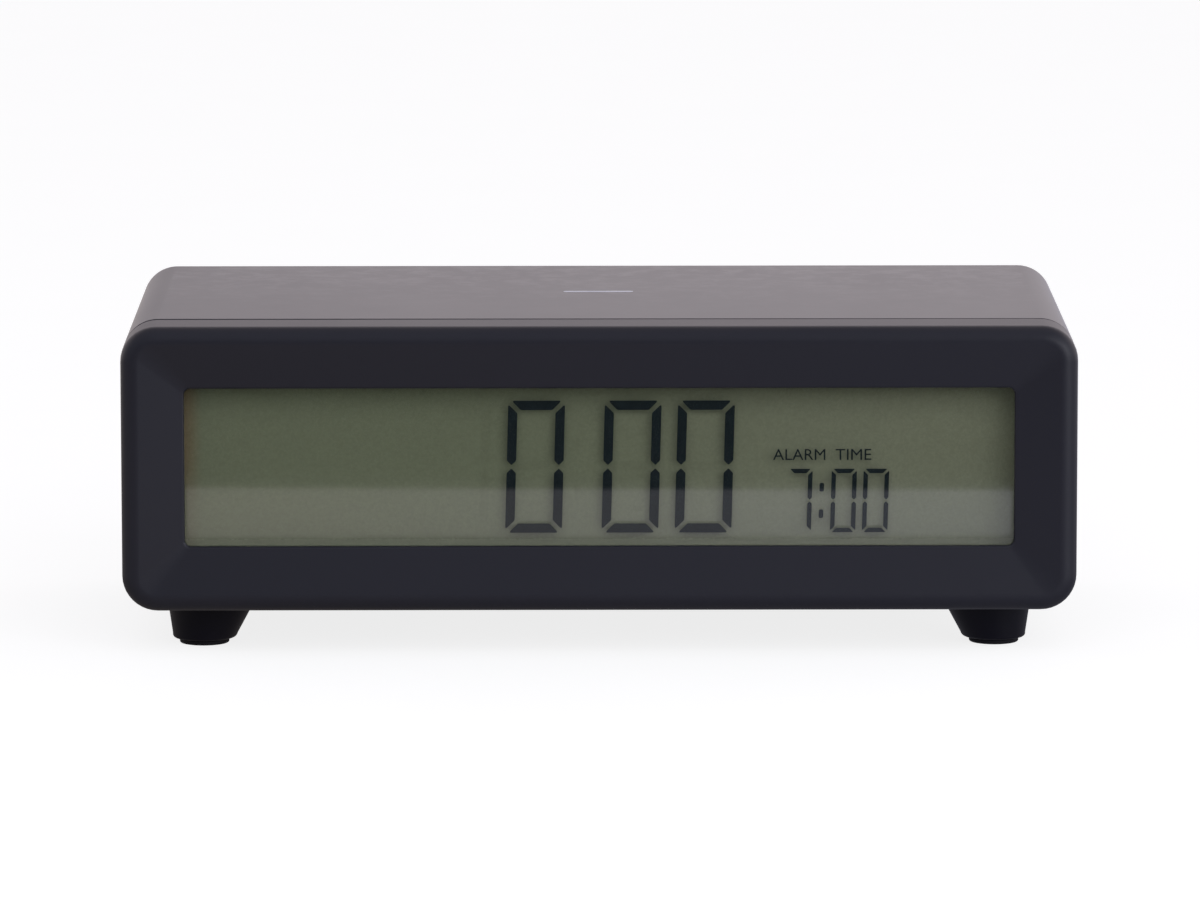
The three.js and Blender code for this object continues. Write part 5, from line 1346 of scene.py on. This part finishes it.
cut = [rod("Y", BUTTON_CLEAR, mid_of(button), inside_y, outside_y, 56) for button in BUTTON_BODIES]
cut.append(block((knob_low.x - FIT, inside_y, knob_low.z - FIT),
                 (knob_high.x + SWITCH_TRAVEL + FIT, outside_y, knob_high.z + FIT)))
sounder = mid_of("buzzer")
for offset in SOUND_SLOTS:
    x = sounder.x + offset
    slot_low = Vector((x - SOUND_HALF_WIDTH, inside_y, sounder.z - SOUND_HALF_LENGTH))
    slot_high = Vector((x + SOUND_HALF_WIDTH, outside_y, sounder.z + SOUND_HALF_LENGTH))
    cut.append(plate(slot_low, slot_high, "Y", SOUND_HALF_WIDTH - SOUND_EDGE, SOUND_EDGE, 8))
for corner in SCREW_CORNERS:
    place = mid_of("rear_screw_" + corner)
    cut.append(rod("Y", COVER_BOSS_BORE + FIT, place, inside_y, outside_y))
    cut.append(rod("Y", COUNTERBORE, place, cover_high.y - PAST, outside_y, 40))
cover_panel_low = Vector((cover_low.x, cover_front_y, cover_low.z))
cover_mesh = carved(plate(cover_panel_low, cover_high, "Y", COVER_CORNER, COVER_EDGE, 8), cut=cut)
piece("back_panel", cover_mesh, case_charcoal, "case_plastic", "case", "rear_cover")
words = []
for word, button, width in BUTTON_WORDS:
    x = mid_of(button).x
    words.append((word, x + width / 2, x - width / 2, node_box(button)[1].z + BUTTON_WORD_GAP))
off_x = knob_high.x + SWITCH_TRAVEL
for word, end_x, (left, right) in (("ON", knob_low.x, ON_SPAN), ("OFF", off_x, OFF_SPAN)):
    words.append((word, end_x + left, end_x + right, knob_high.z + SWITCH_WORD_GAP))
print_meshes = []
print_ys = (cover_high.y - PRINT_THICK, cover_high.y + PRINT_THICK)
for word, left, right, low in words:
    print_meshes.append(lettering(word, left, right, low, low + WORD_HEIGHT, *print_ys))
cover_print = moulded_plastic("cover_print", srgb(178, 178, 182), 0.55, 3300.0, 0.000002, 0.08, 0.2)
piece("cover_words", together(*print_meshes), cover_print, "case_plastic", "case")


# Battery cells: two AA cells, steel cans in a plain pale grey jacket with a darker band near each end. The
# ends are bare, with a nub at the plus end. They lie in the bay, held between the contacts.
CELL_RADIUS = 7.25
CELL_ROUND = 0.5
CELL_SHOULDER = 0.6
CELL_DISH = 0.15
CELL_DISH_INSETS = (1.6, 1.4)
NUB_RADIUS = 2.75
NUB_LENGTH = 1.0
NUB_FOOT = (0.2, 0.15)
NUB_CHAMFER = 0.25
JACKET_BAND = (0.0205, 0.0206)
JACKET_END = (0.02340, 0.02346)
cell_jacket, tree = new_material("cell_jacket_print")
from_middle = arithmetic(tree, "ABSOLUTE", object_place(tree)["X"])
bare = ramp(tree, from_middle, *JACKET_END)
tone = blend(tree, ramp(tree, from_middle, *JACKET_BAND), srgb(132, 140, 138), srgb(74, 86, 92))
tone = blend(tree, bare, tone, srgb(190, 190, 188))
scuffs = ramp(tree, noise(tree, 420.0, 4.0, 0.7, (0.2, 1.0, 1.0)), 0.55, 0.75, 0.22, 0.4)
metal = ramp(tree, bare, 0.0, 1.0, 0.35, 1.0)
coat(tree, {"Base Color": tone, "Roughness": scuffs, "Metallic": metal})
for end, forward in (("front", 1.0), ("rear", -1.0)):
    cell_low, cell_high = node_box("battery_cell_" + end)
    centre = (cell_low + cell_high) / 2
    centre.x = cell_low.x if forward > 0 else cell_high.x
    length = cell_high.x - cell_low.x - NUB_LENGTH
    tip = length + NUB_LENGTH
    section = [(LATHE_END, CELL_DISH), (CELL_RADIUS - CELL_DISH_INSETS[0], CELL_DISH)]
    section.append((CELL_RADIUS - CELL_DISH_INSETS[1], 0.0))
    section += [(CELL_RADIUS - inset, run) for inset, run in eased(4, CELL_ROUND)]
    section += [(CELL_RADIUS - run, length - inset) for inset, run in eased(4, CELL_SHOULDER)]
    section += [(NUB_RADIUS + NUB_FOOT[0], length), (NUB_RADIUS, length + NUB_FOOT[1])]
    section += [(NUB_RADIUS, tip - NUB_CHAMFER), (NUB_RADIUS - NUB_CHAMFER, tip), (LATHE_END, tip)]
    can = lathe([(radius, forward * along) for radius, along in section], centre, "X", 64)
    piece("cell_can_" + end, can, cell_jacket, "cell_jacket", "case", "battery_cell_" + end)


# Battery door: the charcoal lid under the bay, swinging on two tabs at its back, with a springy latch between
# two slits and grooves for a fingertip.
DOOR_CORNER = 0.6
DOOR_EDGE = 0.25
DOOR_TAB_THICK = 0.9
DOOR_TAB_DROP = 0.01
LATCH_HALF = 6.0
LATCH_SLIT_HALF = 0.5
LATCH_LENGTH = 8.0
GRIP_STARTS = (2.0, 3.6, 5.2)
GRIP_WIDTH = 0.7
GRIP_HALF_LENGTH = 4.6
GRIP_DEPTH = 0.4
joined = []
cut = []
for side in (-1, 1):
    tab = side * DOOR_TAB_X
    joined.append(block((tab - DOOR_TAB_HALF, door_back_y - FIT, door_high.z - DOOR_TAB_THICK),
                        (tab + DOOR_TAB_HALF, door_high.y, door_high.z - DOOR_TAB_DROP)))
    slit = side * LATCH_HALF
    cut.append(block((slit - LATCH_SLIT_HALF, door_low.y - PAST, door_low.z - PAST),
                     (slit + LATCH_SLIT_HALF, door_low.y + LATCH_LENGTH, door_high.z + PAST)))
for start in GRIP_STARTS:
    y = door_low.y + start
    cut.append(block((-GRIP_HALF_LENGTH, y, door_low.z - PAST),
                     (GRIP_HALF_LENGTH, y + GRIP_WIDTH, door_low.z + GRIP_DEPTH)))
door_panel_high = Vector((door_high.x, door_back_y, door_high.z))
door_mesh = carved(plate(door_low, door_panel_high, "Z", DOOR_CORNER, DOOR_EDGE, 5), joined, cut)
piece("cell_door", door_mesh, case_charcoal, "case_plastic", "door", "battery_door")
